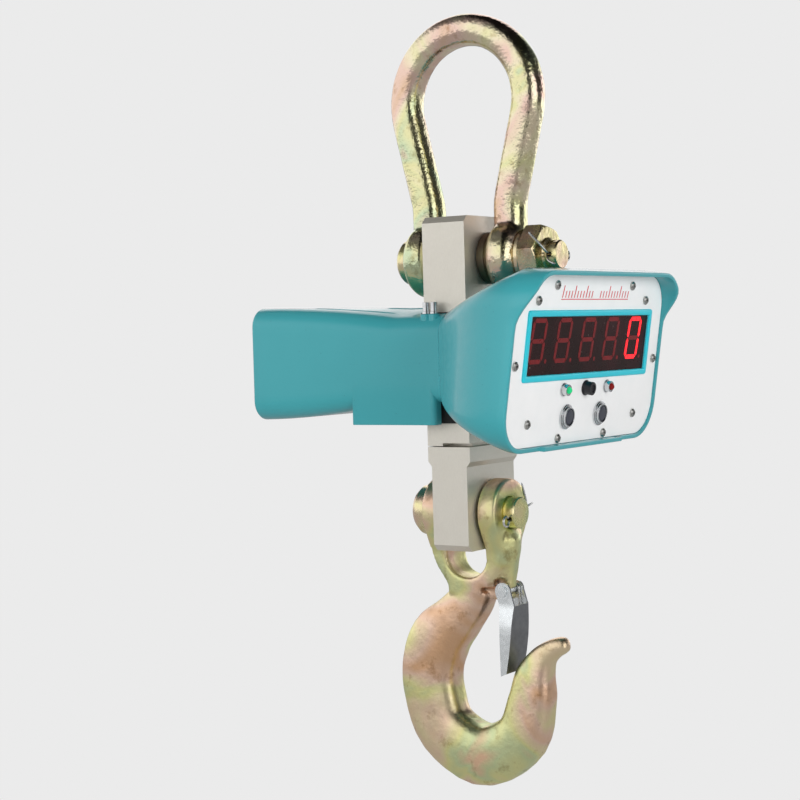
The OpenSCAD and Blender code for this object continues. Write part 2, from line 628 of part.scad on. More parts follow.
// Seven bars cut into the face of each digit block
module segments() {
    multmatrix([[1, tan(digit_lean), 0, 0], [0, 1, 0, 0], [0, 0, 1, 0]]) {
        for (z = [-1, 0, 1]) translate([0, z * (digit_h - seg) / 2]) square([digit_w - 2 * seg, seg], center = true);
        for (sx = [-1, 1], sz = [-1, 1]) translate([sx * (digit_w - seg) / 2, sz * digit_h / 4])
            square([seg, digit_h / 2 - 1.5], center = true);
    }
    translate([digit_w / 2 + 2.5, -digit_h / 2 + seg / 2]) circle(d = 3, $fn = 24);
}
module digit(i) {
    color([0.1, 0.1, 0.1]) at_panel() translate([(i - 3) * digit_pitch + digit_x, 0, 0]) difference() {
        plate(5, 15.1) square([digit_pitch - 0.5, 38], center = true);
        plate(4, 5.8) translate([0, digit_z]) segments();
    }
}
module digit_1() { digit(1); }
module digit_2() { digit(2); }
module digit_3() { digit(3); }
module digit_4() { digit(4); }
module digit_5() { digit(5); }
main_y = 36;
main_posts = [for (s = [-1, 1], z = [-38, 16]) [s * 62, z]];
module board_standoffs() {
    color("gold") at_panel() {
        for (p = posts) translate([p[0], 0, p[1]]) difference() {
            translate([0, panel_t + 0.05, 0]) rotate([-90, 0, 0]) cylinder(d = 6.4, h = 15.15 - panel_t - 0.05, $fn = 6);
            rod_y(3.1, 1, 12, 24);
        }
        for (p = main_posts) translate([p[0], 16.85, p[1]]) rotate([-90, 0, 0]) cylinder(d = 6.4, h = main_y - 16.9, $fn = 6);
    }
}
module main_board() {
    color(board_green) at_panel() plate(main_y, main_y + 1.6) translate([0, -11]) square([136, 66], center = true);
}
module board_parts() {
    back = main_y + 1.65;
    color([0.15, 0.15, 0.17]) at_panel() {
        for (b = [[-40, -20, 14, 14, 2.5], [-10, 5, 24, 10, 3.5], [30, -20, 18, 12, 3], [44, 0, 16, 18, 9]])
            translate([b[0], back, b[1]]) cube([b[2], b[4], b[3]]);
        for (x = [-50, -38]) translate([x, 0, 10]) rod_y(9, back, back + 10, 32);
        translate([-56, back, -40]) cube([30, 8, 7]);
    }
}
module lamp_bezels() {
    color(chrome) at_panel() for (s = [-1, 1]) translate([s * lamp_x, 0, lamp_z]) difference() {
        union() {
            rod_y(9, -1, -0.05, 32);
            rod_y(7.6, -4.4, -0.5, 32);
            rod_y(6, -0.5, 9, 24);
        }
        rod_y(5, -5, 10, 24);
    }
}
module lamp(s) {
    at_panel() translate([s * lamp_x, 0, lamp_z]) {
        rod_y(4.8, -4, 8, 24);
        translate([0, -4, 0]) sphere(d = 4.8, $fn = 24);
    }
}
module green_lamp() { color([0.2, 0.9, 0.5]) lamp(-1); }
module red_lamp() { color([0.8, 0.1, 0.1]) lamp(1); }
module infrared_receiver() {
    color(rubber) at_panel() translate([0, 0, lamp_z]) difference() {
        union() {
            rod_y(10.4, -1.2, -0.05, 32);
            rod_y(9, -6.2, -1, 32);
            rod_y(8, -1, 8, 32);
        }
        rod_y(5.6, -7, -5.4, 32);
    }
}

// ---- push buttons ----

press = 1.5;                              // travel of a cap
cap_d = 11.3;
module button_body(s) {
    color(chrome) at_panel() translate([s * button_x, 0, button_z]) difference() {
        union() {
            rod_y(17, -1.4, -0.05);
            rod_y(15.4, -2.2, -1.3);
            rod_y(13.2, -3.6, -2);
            rod_y(14, -0.5, 20);
        }
        rod_y(cap_d + 0.2, -5, 9);
        rod_y(4.4, 8, 21, 32);
    }
}
module button_left_body() { button_body(-1); }
module button_right_body() { button_body(1); }
module button_nuts() {
    color(chrome) at_panel() for (s = [-1, 1]) translate([s * button_x, 0, button_z]) difference() {
        translate([0, panel_t + 0.05, 0]) rotate([-90, 0, 0]) cylinder(r = 10, h = 3, $fn = 6);
        rod_y(14.1, 1, 6);
    }
}
module button_springs() {
    color("silver") at_panel() for (s = [-1, 1]) translate([s * button_x, 0, button_z]) difference() {
        rod_y(8, 1.6, 8.9, 32);
        rod_y(6.6, 1, 9.5, 32);
    }
}
module button_cap(s) {
    color([0.12, 0.12, 0.14]) at_panel() translate([s * button_x, 0, button_z]) rotate([-90, 0, 0]) rotate_extrude()
        polygon([[0, -3.7], [cap_d / 2 - 1.2, -3.5], [cap_d / 2, -2.6], [cap_d / 2, -0.3], [2.1, -0.3], [2.1, 14], [0, 14]]);
}
module button_left_cap() { button_cap(-1); }
module button_right_cap() { button_cap(1); }

// ---- hook ----

ear_r = 23.8;                             // hook ear
ear_in = fork / 2;
ear_w = 14;                               // thickness of a hook ear
crotch_z = -31.2;                         // centre of the fork's round bottom, below the lower pin
crotch_h = 14.5;                          // and its depth
lug_w = 10;                               // lug that carries the latch
pivot_y = -27;
pivot_z = -54;                            // latch pivot, below the lower pin
// Centre line of the hook with its half depth and half thickness: y, z, depth, thickness
stations = [
    [0, -52, 15, 12.5], [3.5, -62, 15.3, 12.8], [16.4, -76.6, 17.8, 14.3], [30.5, -91, 21.6, hook_t],
    [38, -110, 21.8, hook_t], [37.5, -131, 21.6, hook_t], [27, -157, 21.2, hook_t], [-4, -172, 21.6, hook_t],
    [-33.5, -157, 18.8, 14.5], [-43, -131, 16.4, 13], [-46.2, -113, 13.6, 11.5], [-53, -99.5, 9, 9],
    [-61.5, -92.8, 6.9, 7.2], [-67, -90.4, 6.2, 6.4], [-71.2, -89.2, 4.6, 4.8], [-73, -88.8, 1.6, 1.7]
];
function hermite(a, b, ta, tb, t) = a * (2 * t * t * t - 3 * t * t + 1) + ta * (t * t * t - 2 * t * t + t)
    + b * (3 * t * t - 2 * t * t * t) + tb * (t * t * t - t * t);
function slope(s, i) = i == 0 ? s[1] - s[0] : i == len(s) - 1 ? s[i] - s[i - 1] : (s[i + 1] - s[i - 1]) / 2;
function along(s, x) = let (i = min(len(s) - 2, floor(x))) hermite(s[i], s[i + 1], slope(s, i), slope(s, i + 1), x - i);
section_n = 26;
hook_step = 0.23;                         // spacing of the rings, in stations
// One ring of the hook: a full oval square to the centre line
function hook_ring(x) = let (
    c = along(stations, x),
    d = along(stations, min(len(stations) - 1, x + 0.05)) - along(stations, max(0, x - 0.05)),
    l = norm([d[0], d[1]]),
    ny = -d[1] / l,
    nz = d[0] / l
) [
    for (j = [0 : section_n - 1]) let (
        a = 360 * j / section_n,
        u = -sign(cos(a)) * pow(abs(cos(a)), 0.54) * c[3],
        v = sign(sin(a)) * pow(abs(sin(a)), 0.84) * c[2]
    ) [u, c[0] + ny * v, low_z + c[1] + nz * v]
];
// Sections of the front arm: z, half width, y where its side ends, y of its narrow outer face
arm = [
    [-11, 21, -26, -31.5], [-18, 17.5, -28, -35], [-26, 13.6, -29.4, -34.8], [-35, 13, -27.6, -33.3],
    [-44, 12.6, -21.6, -31.8], [-52, 12.5, -15, -30.6]
];
arm_w = 3.2;                              // half width of that face
module front_arm() {
    skin([for (a = arm) [
        [-a[1], -8, a[0]], [a[1], -8, a[0]], [a[1], a[2], a[0]],
        [arm_w, a[3], a[0]], [-arm_w, a[3], a[0]], [-a[1], a[2], a[0]]
    ]]);
}
module fork_profile() {
    difference() {
        polygon([
            [30, 30], [29.6, -17], [28.4, -28], [24.4, -39], [17, -49.5], [15.8, -53], [15.8, -57], [-14, -60], [-26, -62],
            [-29.4, -60], [-40, -40], [-40, -8], [-30, -8], [-30, 30]
        ]);
        translate([0, crotch_z]) scale([1, crotch_h / ear_in]) circle(r = ear_in);
        translate([-ear_in, crotch_z]) square([fork, 80]);
    }
}
module hook() {
    color(zinc) at_cell() difference() {
        union() {
            skin([for (i = [0 : hook_step : len(stations) - 1.01]) hook_ring(i)]);
            translate([0, 0, low_z]) intersection() {
                rotate([90, 0, 90]) linear_extrude(height = 60, center = true) fork_profile();
                union() {
                    plate(-30, 30) circle(r = ear_r);
                    plate(-10, 30) polygon([
                        [-21, -11], [21, -11], [13.5, -27], [12.5, -57.5], [-12.5, -57.5], [-13.5, -27]
                    ]);
                    front_arm();
                    plate(-30, 0) translate([-lug_w / 2, -63]) square([lug_w, 24]);
                }
            }
        }
        translate([0, 0, low_z]) rod_y(low_pin_d + 0.4, -40, 40);
        translate([0, pivot_y, low_z + pivot_z]) rod_x(5.3, 40, 32);
        // the latch's flanges run beside the lug
        for (s = [-1, 1]) translate([s * (lug_w / 2 + 10), pivot_y - 4, low_z + pivot_z - 3.5]) cube([20, 21, 23], center = true);
    }
}
low_out = ear_in + ear_w;                 // outer face of a hook ear
low_end = -38;                            // front end of the lower pin
low_cotter_y = (low_end - low_out) / 2 - 0.4;
cotter_a = 162;                           // the split pin's eye is at the lower left
module lower_pin() {
    color(zinc) at_cell() translate([0, 0, low_z]) difference() {
        rotate([-90, 0, 0]) rotate_extrude()
            polygon([
                [0, low_end], [low_pin_d / 2 - 0.8, low_end], [low_pin_d / 2, low_end + 0.8],
                [low_pin_d / 2, low_out + 0.1], [16.5, low_out + 0.1], [17.6, low_out + 1.5],
                [17.6, low_out + 9], [14.5, low_out + 12.6], [0, low_out + 12.6]
            ]);
        translate([0, low_cotter_y, 0]) rotate([0, cotter_a, 0]) rod_x(4.2, 40, 24);
    }
}
module lower_cotter() {
    color(chrome) at_cell() translate([0, low_cotter_y, low_z]) rotate([0, cotter_a, 0]) split_pin(1.9, 12, 7, [[6, 12], [95, 14]]);
}
module at_pivot() { at_cell() translate([0, pivot_y, low_z + pivot_z]) children(); }
flange_x = 8.2;                           // inner face of a latch flange
latch_t = 1.6;
module latch_rivet() {
    color(chrome) at_pivot() {
        rod_x(5, 2 * (flange_x + latch_t) + 0.8, 32);
        for (s = [-1, 1]) translate([s * (flange_x + latch_t + 0.9), 0, 0]) rod_x(7.5, 1.6, 32);
    }
}
// Half of the latch's front outline, and its outer line in front of the pivot, as [across, z]
latch_half = [
    [9.8, 7], [9.8, -9], [10.7, -14], [11.6, -19.5], [12.2, -25], [12.5, -32], [12.4, -42], [12, -latch_len - 3]
];
latch_front = [[-9, -10], [-8.3, -17], [-7.6, -25], [-6.8, -34], [-5.4, -44], [-2.8, -latch_len]];
module latch_outline(inset) {
    polygon(concat(
        [for (v = latch_half) [v[0] - inset, v[1]]],
        [for (i = [len(latch_half) - 1 : -1 : 0]) [inset - latch_half[i][0], latch_half[i][1]]]
    ));
}
module latch() {
    color(chrome) at_pivot() difference() {
        intersection() {
            plate(-20, 20) latch_outline(0);
            rotate([90, 0, 90]) linear_extrude(height = 30, center = true) {
                circle(r = 6, $fn = 48);
                polygon(concat([[-6, 0]], latch_front, [
                    [1.8, -latch_len - 2], [1.8, -27], [2.4, -14], [3.4, -8], [5.8, -2]
                ]));
            }
        }
        // hollow between the flanges, behind the web
        intersection() {
            plate(-20, 20) latch_outline(latch_t);
            rotate([90, 0, 90]) linear_extrude(height = 30, center = true) polygon(concat(
                [[20, 10], [-20, 10], [-20, -10]],
                [for (v = latch_front) [v[0] + latch_t, v[1]]],
                [[latch_front[5][0] + latch_t, -latch_len - 10], [20, -latch_len - 10]]
            ));
        }
        rod_x(5.15, 40, 32);
    }
}
module latch_spring() {
    wire = 1.2;
    color(chrome) at_pivot() for (s = [-1, 1]) {
        for (k = [0, 1]) translate([s * (lug_w / 2 + 0.9 + k * 1.25), 0, 0]) rotate([0, 90, 0])
            rotate_extrude() translate([3.7, 0]) circle(d = wire, $fn = 24);
        translate([s * 6.6, -3.7, -19.5]) cylinder(d = wire, h = 19.5, $fn = 24);
    }
}

shackle_bow();
upper_pin();
spacer_ring();
upper_washer();
upper_nut();
upper_cotter();
load_cell();
gauge_covers();
cell_lead();
chassis_left();
chassis_right();
chassis_bolts();
front_housing();
rear_housing();
belly_cover();
housing_bolts();
top_seal();
bottom_seal();
rear_gasket();
rear_cover();
rear_screws();
charge_socket();
battery_tray();
battery();
battery_strap();
panel_gasket();
front_panel();
panel_screws();
window_frame();
display_filter();
display_board();
digit_1();
digit_2();
digit_3();
digit_4();
digit_5();
board_standoffs();
main_board();
board_parts();
lamp_bezels();
green_lamp();
red_lamp();
infrared_receiver();
button_left_body();
button_right_body();
button_nuts();
button_springs();
button_left_cap();
button_right_cap();
hook();
lower_pin();
lower_cotter();
latch_rivet();
latch();
latch_spring();
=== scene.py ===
import json
import math

import bmesh
import bpy
from mathutils import Matrix, Vector, noise


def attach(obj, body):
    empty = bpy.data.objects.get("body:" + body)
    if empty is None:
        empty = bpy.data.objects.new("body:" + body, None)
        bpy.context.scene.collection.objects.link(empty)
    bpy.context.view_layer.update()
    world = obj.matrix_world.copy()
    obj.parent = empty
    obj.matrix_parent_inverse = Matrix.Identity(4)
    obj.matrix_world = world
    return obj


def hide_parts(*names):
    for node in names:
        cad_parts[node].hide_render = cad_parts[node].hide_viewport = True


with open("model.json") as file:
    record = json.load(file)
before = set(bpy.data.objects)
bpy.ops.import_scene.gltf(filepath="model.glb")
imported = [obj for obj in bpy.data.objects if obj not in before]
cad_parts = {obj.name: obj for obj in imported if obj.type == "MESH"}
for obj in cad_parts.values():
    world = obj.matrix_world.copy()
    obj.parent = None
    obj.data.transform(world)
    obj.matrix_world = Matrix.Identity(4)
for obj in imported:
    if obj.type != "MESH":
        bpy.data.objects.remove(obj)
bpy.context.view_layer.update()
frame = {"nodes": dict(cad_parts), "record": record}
scene = bpy.context.scene
MM = 0.001
NODE_BODY = {n: b for b, ns in frame["record"]["behaviour"]["bodies"].items() for n in ns}

# Places of the design, in millimetres: the top of the cell, level with the upper pin, and the display plate
CELL = Vector((0, 2.5, -148))
LEAN = math.radians(8.5)
PANEL_O = CELL + Vector((0, -94.5, -61))
# Columns: along the plate, up the plate, out of the plate
PANEL = Matrix((
    (1, 0, 0, PANEL_O.x),
    (0, -math.sin(LEAN), -math.cos(LEAN), PANEL_O.y),
    (0, math.cos(LEAN), -math.sin(LEAN), PANEL_O.z),
    (0, 0, 0, 1),
))


# ---------------------------------------------------------------- camera, room and light
# The view: where the camera stands in metres, which way it looks, and its lens and sensor in millimetres
AZ, EL, ROLL = math.radians(-55.83), math.radians(2.13), math.radians(1.63)
CAMERA_AT = Vector((-1.0719, -0.6645, -0.198))
LENS, SENSOR = 81, 36


def make_camera():
    """A level camera turned by AZ, raised by EL and tilted by ROLL."""
    back = Vector((math.sin(AZ) * math.cos(EL), -math.cos(AZ) * math.cos(EL), math.sin(EL)))
    right = Vector((math.cos(AZ), math.sin(AZ), 0))
    up = back.cross(right)
    x = math.cos(ROLL) * right - math.sin(ROLL) * up
    y = math.sin(ROLL) * right + math.cos(ROLL) * up
    cam = bpy.data.objects.new("camera", bpy.data.cameras.new("camera"))
    cam.data.lens = LENS
    cam.data.sensor_width = SENSOR
    cam.data.clip_end = 50
    m = Matrix((x, y, back)).transposed().to_4x4()
    m.translation = CAMERA_AT
    cam.matrix_world = m
    scene.collection.objects.link(cam)
    scene.camera = cam


def rgb(code):
    """Linear colour of a six-digit sRGB code."""
    out = []
    for k in (0, 2, 4):
        c = int(code[k:k + 2], 16) / 255
        out.append(c / 12.92 if c < 0.04045 else ((c + 0.055) / 1.055) ** 2.4)
    return (*out, 1)


BACKDROP = rgb("EBEBEB")
# Soft boxes round the object: direction, half angle in degrees, brightness
SOFTBOXES = [
    ((-0.60, 0.80, -0.10), 74, 1.0),
    ((-0.21, -0.97, 0.02), 30, 1.4),
    ((0.98, -0.17, -0.02), 23, 1.5),
]
SKYLIGHT = ((0.84, 0.54, 0.50), 24, 1.15)
# What the area lights point at
LIT_POINT = Vector((0, 0, -0.25))
# Brightness of the room between the boxes, and of the floor as the object mirrors it
ROOM = 0.05
FLOOR_GLOW = 0.40
FLOOR_Z, FLOOR_HALF = -0.62, 9
# Heights between which the boxes fade out, and what is left of them above
CEILING_LOW, CEILING_HIGH, CEILING_REST = 0.45, 0.72, 0.12


def make_world():
    """A plain backdrop for the camera, and soft boxes that only the object sees."""
    world = bpy.data.worlds.new("studio")
    scene.world = world
    world.use_nodes = True
    t = world.node_tree
    bg = t.nodes["Background"]
    coord = t.nodes.new("ShaderNodeTexCoord")

    def lobe(d, half, power):
        """A round box of light with soft edges."""
        dot = t.nodes.new("ShaderNodeVectorMath")
        dot.operation = "DOT_PRODUCT"
        dot.inputs[1].default_value = Vector(d).normalized()
        t.links.new(coord.outputs["Generated"], dot.inputs[0])
        out = t.nodes.new("ShaderNodeMapRange")
        out.interpolation_type = "SMOOTHSTEP"
        out.inputs["From Min"].default_value = math.cos(math.radians(half * 1.08))
        out.inputs["From Max"].default_value = math.cos(math.radians(half * 0.84))
        out.inputs["To Max"].default_value = power
        t.links.new(dot.outputs["Value"], out.inputs["Value"])
        return out.outputs[0]

    def calc(how, *values):
        n = t.nodes.new("ShaderNodeMath")
        n.operation = how
        for socket, value in zip(n.inputs, values):
            if hasattr(value, "is_output"):
                t.links.new(value, socket)
            else:
                socket.default_value = value
        return n.outputs[0]

    total = ROOM
    for box in SOFTBOXES:
        total = calc("ADD", lobe(*box), total)
    # the boxes stop short of the ceiling, so upper edges reflect a dark room
    height = t.nodes.new("ShaderNodeSeparateXYZ")
    t.links.new(coord.outputs["Generated"], height.inputs[0])
    ceiling = t.nodes.new("ShaderNodeMapRange")
    ceiling.interpolation_type = "SMOOTHSTEP"
    ceiling.inputs["From Min"].default_value = CEILING_LOW
    ceiling.inputs["From Max"].default_value = CEILING_HIGH
    ceiling.inputs["To Min"].default_value = 1.0
    ceiling.inputs["To Max"].default_value = CEILING_REST
    t.links.new(height.outputs["Z"], ceiling.inputs["Value"])
    total = calc("ADD", calc("MULTIPLY", total, ceiling.outputs[0]), lobe(*SKYLIGHT))
    ray = t.nodes.new("ShaderNodeLightPath")
    seen = t.nodes.new("ShaderNodeBackground")
    seen.inputs[0].default_value = BACKDROP
    mixed = t.nodes.new("ShaderNodeMixShader")
    t.links.new(total, bg.inputs["Color"])
    t.links.new(ray.outputs["Is Camera Ray"], mixed.inputs[0])
    t.links.new(bg.outputs[0], mixed.inputs[1])
    t.links.new(seen.outputs[0], mixed.inputs[2])
    t.links.new(mixed.outputs[0], t.nodes["World Output"].inputs[0])


def make_floor():
    """A pale plain floor, a little below the hook."""
    me = bpy.data.meshes.new("floor")
    corners = [(x * FLOOR_HALF, y * FLOOR_HALF, FLOOR_Z) for x, y in ((-1, -1), (1, -1), (1, 1), (-1, 1))]
    me.from_pydata(corners, [], [(0, 1, 2, 3)])
    floor = bpy.data.objects.new("floor", me)
    scene.collection.objects.link(floor)
    mat = bpy.data.materials.new("floor_pale")
    mat.use_nodes = True
    t = mat.node_tree
    t.nodes.clear()
    out = t.nodes.new("ShaderNodeOutputMaterial")
    ray = t.nodes.new("ShaderNodeLightPath")
    lit = t.nodes.new("ShaderNodeEmission")
    lit.inputs[0].default_value = BACKDROP
    dim = t.nodes.new("ShaderNodeEmission")
    dim.inputs[0].default_value = (FLOOR_GLOW, FLOOR_GLOW, FLOOR_GLOW, 1)
    mixed = t.nodes.new("ShaderNodeMixShader")
    t.links.new(ray.outputs["Is Camera Ray"], mixed.inputs[0])
    t.links.new(dim.outputs[0], mixed.inputs[1])
    t.links.new(lit.outputs[0], mixed.inputs[2])
    t.links.new(mixed.outputs[0], out.inputs[0])
    me.materials.append(mat)


def area_light(name, at, size, watts):
    """A broad fill that lights surfaces but leaves no hot spot in their gloss."""
    lamp = bpy.data.lights.new(name, "AREA")
    lamp.size = size
    lamp.energy = watts
    ob = bpy.data.objects.new(name, lamp)
    ob.visible_glossy = False
    ob.location = at
    ob.rotation_euler = (LIT_POINT - Vector(at)).to_track_quat("-Z", "Y").to_euler()
    scene.collection.objects.link(ob)


make_camera()
make_world()
make_floor()
area_light("key", (-1.7, 0.1, -0.15), 1.2, 14)
area_light("front", (-0.5, -1.6, -0.1), 1.2, 17)
area_light("top", (-0.2, 0.1, 1.4), 0.9, 2.5)
scene.view_settings.view_transform = "Standard"


# ---------------------------------------------------------------- materials
class Mat:
    """A Principled material and short calls that add its procedural nodes."""

    def __init__(self, name, **values):
        self.mat = bpy.data.materials.new(name)
        self.mat.use_nodes = True
        self.t = self.mat.node_tree
        self.shader = self.t.nodes["Principled BSDF"]
        self.coord = self.t.nodes.new("ShaderNodeTexCoord").outputs["Object"]
        for key, value in values.items():
            self.shader.inputs[key.replace("_", " ")].default_value = value

    def node(self, kind, links=(), **values):
        n = self.t.nodes.new("ShaderNode" + kind)
        for key, value in values.items():
            setattr(n, key, value)
        for socket, source in links:
            self.t.links.new(source, n.inputs[socket])
        return n

    def scaled(self, x, y, z):
        n = self.node("Mapping", [("Vector", self.coord)])
        n.inputs["Scale"].default_value = (x, y, z)
        return n.outputs[0]

    def noise(self, scale, detail=3, rough=0.5, distort=0.0, vector=None):
        n = self.node("TexNoise", [("Vector", vector or self.coord)])
        n.inputs["Scale"].default_value = scale
        n.inputs["Detail"].default_value = detail
        n.inputs["Roughness"].default_value = rough
        n.inputs["Distortion"].default_value = distort
        return n.outputs["Fac"]

    def ramp(self, source, stops):
        n = self.node("ValToRGB", [("Fac", source)])
        while len(n.color_ramp.elements) < len(stops):
            n.color_ramp.elements.new(0.5)
        for e, (at, colour) in zip(n.color_ramp.elements, stops):
            e.position = at
            e.color = colour
        return n.outputs["Color"]

    def remap(self, source, a, b, lo, hi):
        n = self.node("MapRange", [("Value", source)])
        for socket, value in zip(("From Min", "From Max", "To Min", "To Max"), (a, b, lo, hi)):
            n.inputs[socket].default_value = value
        return n.outputs[0]

    def mix(self, fac, a, b, how="MIX"):
        n = self.node("Mix", data_type="RGBA", blend_type=how)
        for socket, value in ((0, fac), (6, a), (7, b)):
            if hasattr(value, "is_output"):
                self.t.links.new(value, n.inputs[socket])
            else:
                n.inputs[socket].default_value = value
        return n.outputs[2]

    def pointy(self, lo, hi):
        """0 in creases and 1 on open faces and edges."""
        geo = self.node("NewGeometry")
        return self.remap(geo.outputs["Pointiness"], lo, hi, 0, 1)

    def put(self, socket, source):
        self.t.links.new(source, self.shader.inputs[socket])

    def bump(self, source, distance, strength=1.0, under=None):
        n = self.node("Bump", [("Height", source)])
        n.inputs["Distance"].default_value = distance
        n.inputs["Strength"].default_value = strength
        if under:
            self.t.links.new(under, n.inputs["Normal"])
        return n.outputs[0]


# Six tones of passivated zinc, from pink over straw to green
PALE_ZINC = ("E4C2A4", "ECCDBE", "F0E5C4", "E8E4B0", "D0DEB8", "E6CBB4")
WARM_ZINC = ("F0C29A", "FAD8C0", "F8E8BC", "F2EEAC", "DCE6B4", "F6D0AE")

TONE_STOPS = (0.30, 0.41, 0.50, 0.58, 0.66, 0.76)


def zinc_material(name, rough=0.30, lumps=0.5, dark=0.0, tones=PALE_ZINC):
    """Yellow-passivated zinc: patches of straw, pink and green over forged or turned steel, with painted
    shade darkening its creases and, by the fourth argument, the whole piece.
    """
    m = Mat(name, Metallic=1.0)
    patches = m.noise(17, 2.2, 0.5, 1.2)
    colour = m.ramp(patches, [(at, rgb(c)) for at, c in zip(TONE_STOPS, tones)])
    stains = [(0.28, rgb("B49C74")), (0.44, rgb("FFFFFF")), (0.75, rgb("F8F4EC"))]
    tone = m.ramp(m.noise(85, 4, 0.65), stains)
    colour = m.mix(0.6, colour, tone, "MULTIPLY")
    # painted shade: creases mixed toward dark brown 3A3220, and the whole piece by the fourth argument
    colour = m.mix(m.remap(m.pointy(0.42, 0.495), 0, 1, 0.65 + dark, dark), colour, rgb("3A3220"))
    m.put("Base Color", colour)
    m.put("Roughness", m.remap(m.noise(110, 4, 0.6), 0.3, 0.7, rough - 0.06, rough + 0.10))
    coarse = m.bump(m.noise(380, 2, 0.5), 0.0008 * lumps, 0.8)
    m.put("Normal", m.bump(m.noise(1300, 2, 0.5), 0.00008 * lumps, 0.6, coarse))
    return m.mat


def nickel_material():
    """Satin nickel over milled steel, with faint upright tool marks and stains."""
    m = Mat("nickel_satin", Metallic=0.8)
    tones = [(0.35, rgb("E0DACE")), (0.5, rgb("E8E3D8")), (0.7, rgb("E4DFD4"))]
    stain = m.ramp(m.noise(11, 3, 0.5), tones)
    marks = m.noise(1, 3, 0.6, 0, m.scaled(2300, 2300, 500))
    m.put("Base Color", m.mix(m.remap(marks, 0.3, 0.7, 0.0, 0.07), stain, rgb("8F897E")))
    m.put("Roughness", m.remap(m.noise(400, 3), 0.3, 0.7, 0.36, 0.50))
    grain = m.bump(m.noise(2600, 2), 0.00006, 0.6)
    m.put("Normal", m.bump(marks, 0.00004, 0.4, grain))
    return m.mat


def teal_material(name, colour, deep, rough=0.40):
    """Powder-coated enamel: even colour with a fine orange peel."""
    m = Mat(name, Coat_Weight=1.0, Coat_Roughness=0.14, Coat_IOR=1.3, Specular_IOR_Level=0.3)
    drift = m.mix(m.remap(m.noise(9, 3), 0.35, 0.65, 0, 1), rgb(colour), rgb(deep))
    specks = m.remap(m.noise(700, 2), 0.70, 0.78, 0, 0.5)
    drift = m.mix(specks, drift, rgb("2F6F78"))
    m.put("Base Color", drift)
    m.put("Roughness", m.remap(m.noise(160, 3), 0.3, 0.7, rough - 0.05, rough + 0.07))
    m.put("Normal", m.bump(m.noise(520, 2.5), 0.00022, 0.30))
    return m.mat


def bright_material(name, colour, rough, marks=0.5, metallic=1.0):
    """Bright-plated steel with handling marks, and painted shade darkening its creases."""
    m = Mat(name, Metallic=metallic)
    smudge = m.noise(130, 4, 0.6)
    base = m.mix(m.remap(smudge, 0.35, 0.7, 0, 0.35 * marks), rgb(colour), rgb("5A5B5C"))
    # painted shade: creases mixed toward 262626, scaled with the handling marks
    m.put("Base Color", m.mix(m.remap(m.pointy(0.42, 0.50), 0, 1, 0.6 * marks, 0), base, rgb("262626")))
    m.put("Roughness", m.remap(m.noise(300, 3), 0.3, 0.7, rough - 0.05, rough + 0.12))
    m.put("Normal", m.bump(m.noise(1300, 3), 0.00006, 0.5 * marks))
    return m.mat


def plain_material(name, colour, rough, grain=900, depth=0.00005, other=None, **values):
    """Moulded plastic, rubber, film or board: fine grain, slight change of tone."""
    m = Mat(name, **values)
    tone = m.mix(m.remap(m.noise(60, 4, 0.6), 0.3, 0.7, 0, 1), rgb(colour), rgb(other or colour))
    m.put("Base Color", tone)
    m.put("Roughness", m.remap(m.noise(200, 3), 0.3, 0.7, rough - 0.05, rough + 0.07))
    m.put("Normal", m.bump(m.noise(grain, 3), depth, 0.5))
    return m.mat


def glow_material(name, colour, glow, power, rough=0.3):
    """A plastic lens or segment that gives off light."""
    m = Mat(name, Emission_Strength=power, Specular_IOR_Level=0.2)
    m.shader.inputs["Emission Color"].default_value = rgb(glow)
    m.put("Base Color", m.mix(m.remap(m.noise(400, 3), 0.3, 0.7, 0, 0.4), rgb(colour), rgb("200406")))
    m.put("Roughness", m.remap(m.noise(300, 3), 0.3, 0.7, rough - 0.05, rough + 0.1))
    return m.mat


def window_material():
    """Dark red filter with dust on it."""
    m = Mat("filter_dark", Specular_IOR_Level=0.12)
    base = m.mix(m.remap(m.noise(35, 4), 0.35, 0.65, 0, 1), rgb("1C0D0C"), rgb("2C1012"))
    dust = m.node("TexVoronoi", [("Vector", m.coord)])
    dust.inputs["Scale"].default_value = 230
    speck = m.remap(dust.outputs["Distance"], 0.05, 0.13, 1, 0)
    where = m.remap(m.noise(28, 2), 0.52, 0.62, 0, 0.55)
    both = m.node("Math", [(0, speck), (1, where)], operation="MULTIPLY")
    m.put("Base Color", m.mix(both.outputs[0], base, rgb("B9A79E")))
    m.put("Roughness", m.remap(m.noise(90, 4), 0.3, 0.7, 0.20, 0.34))
    return m.mat


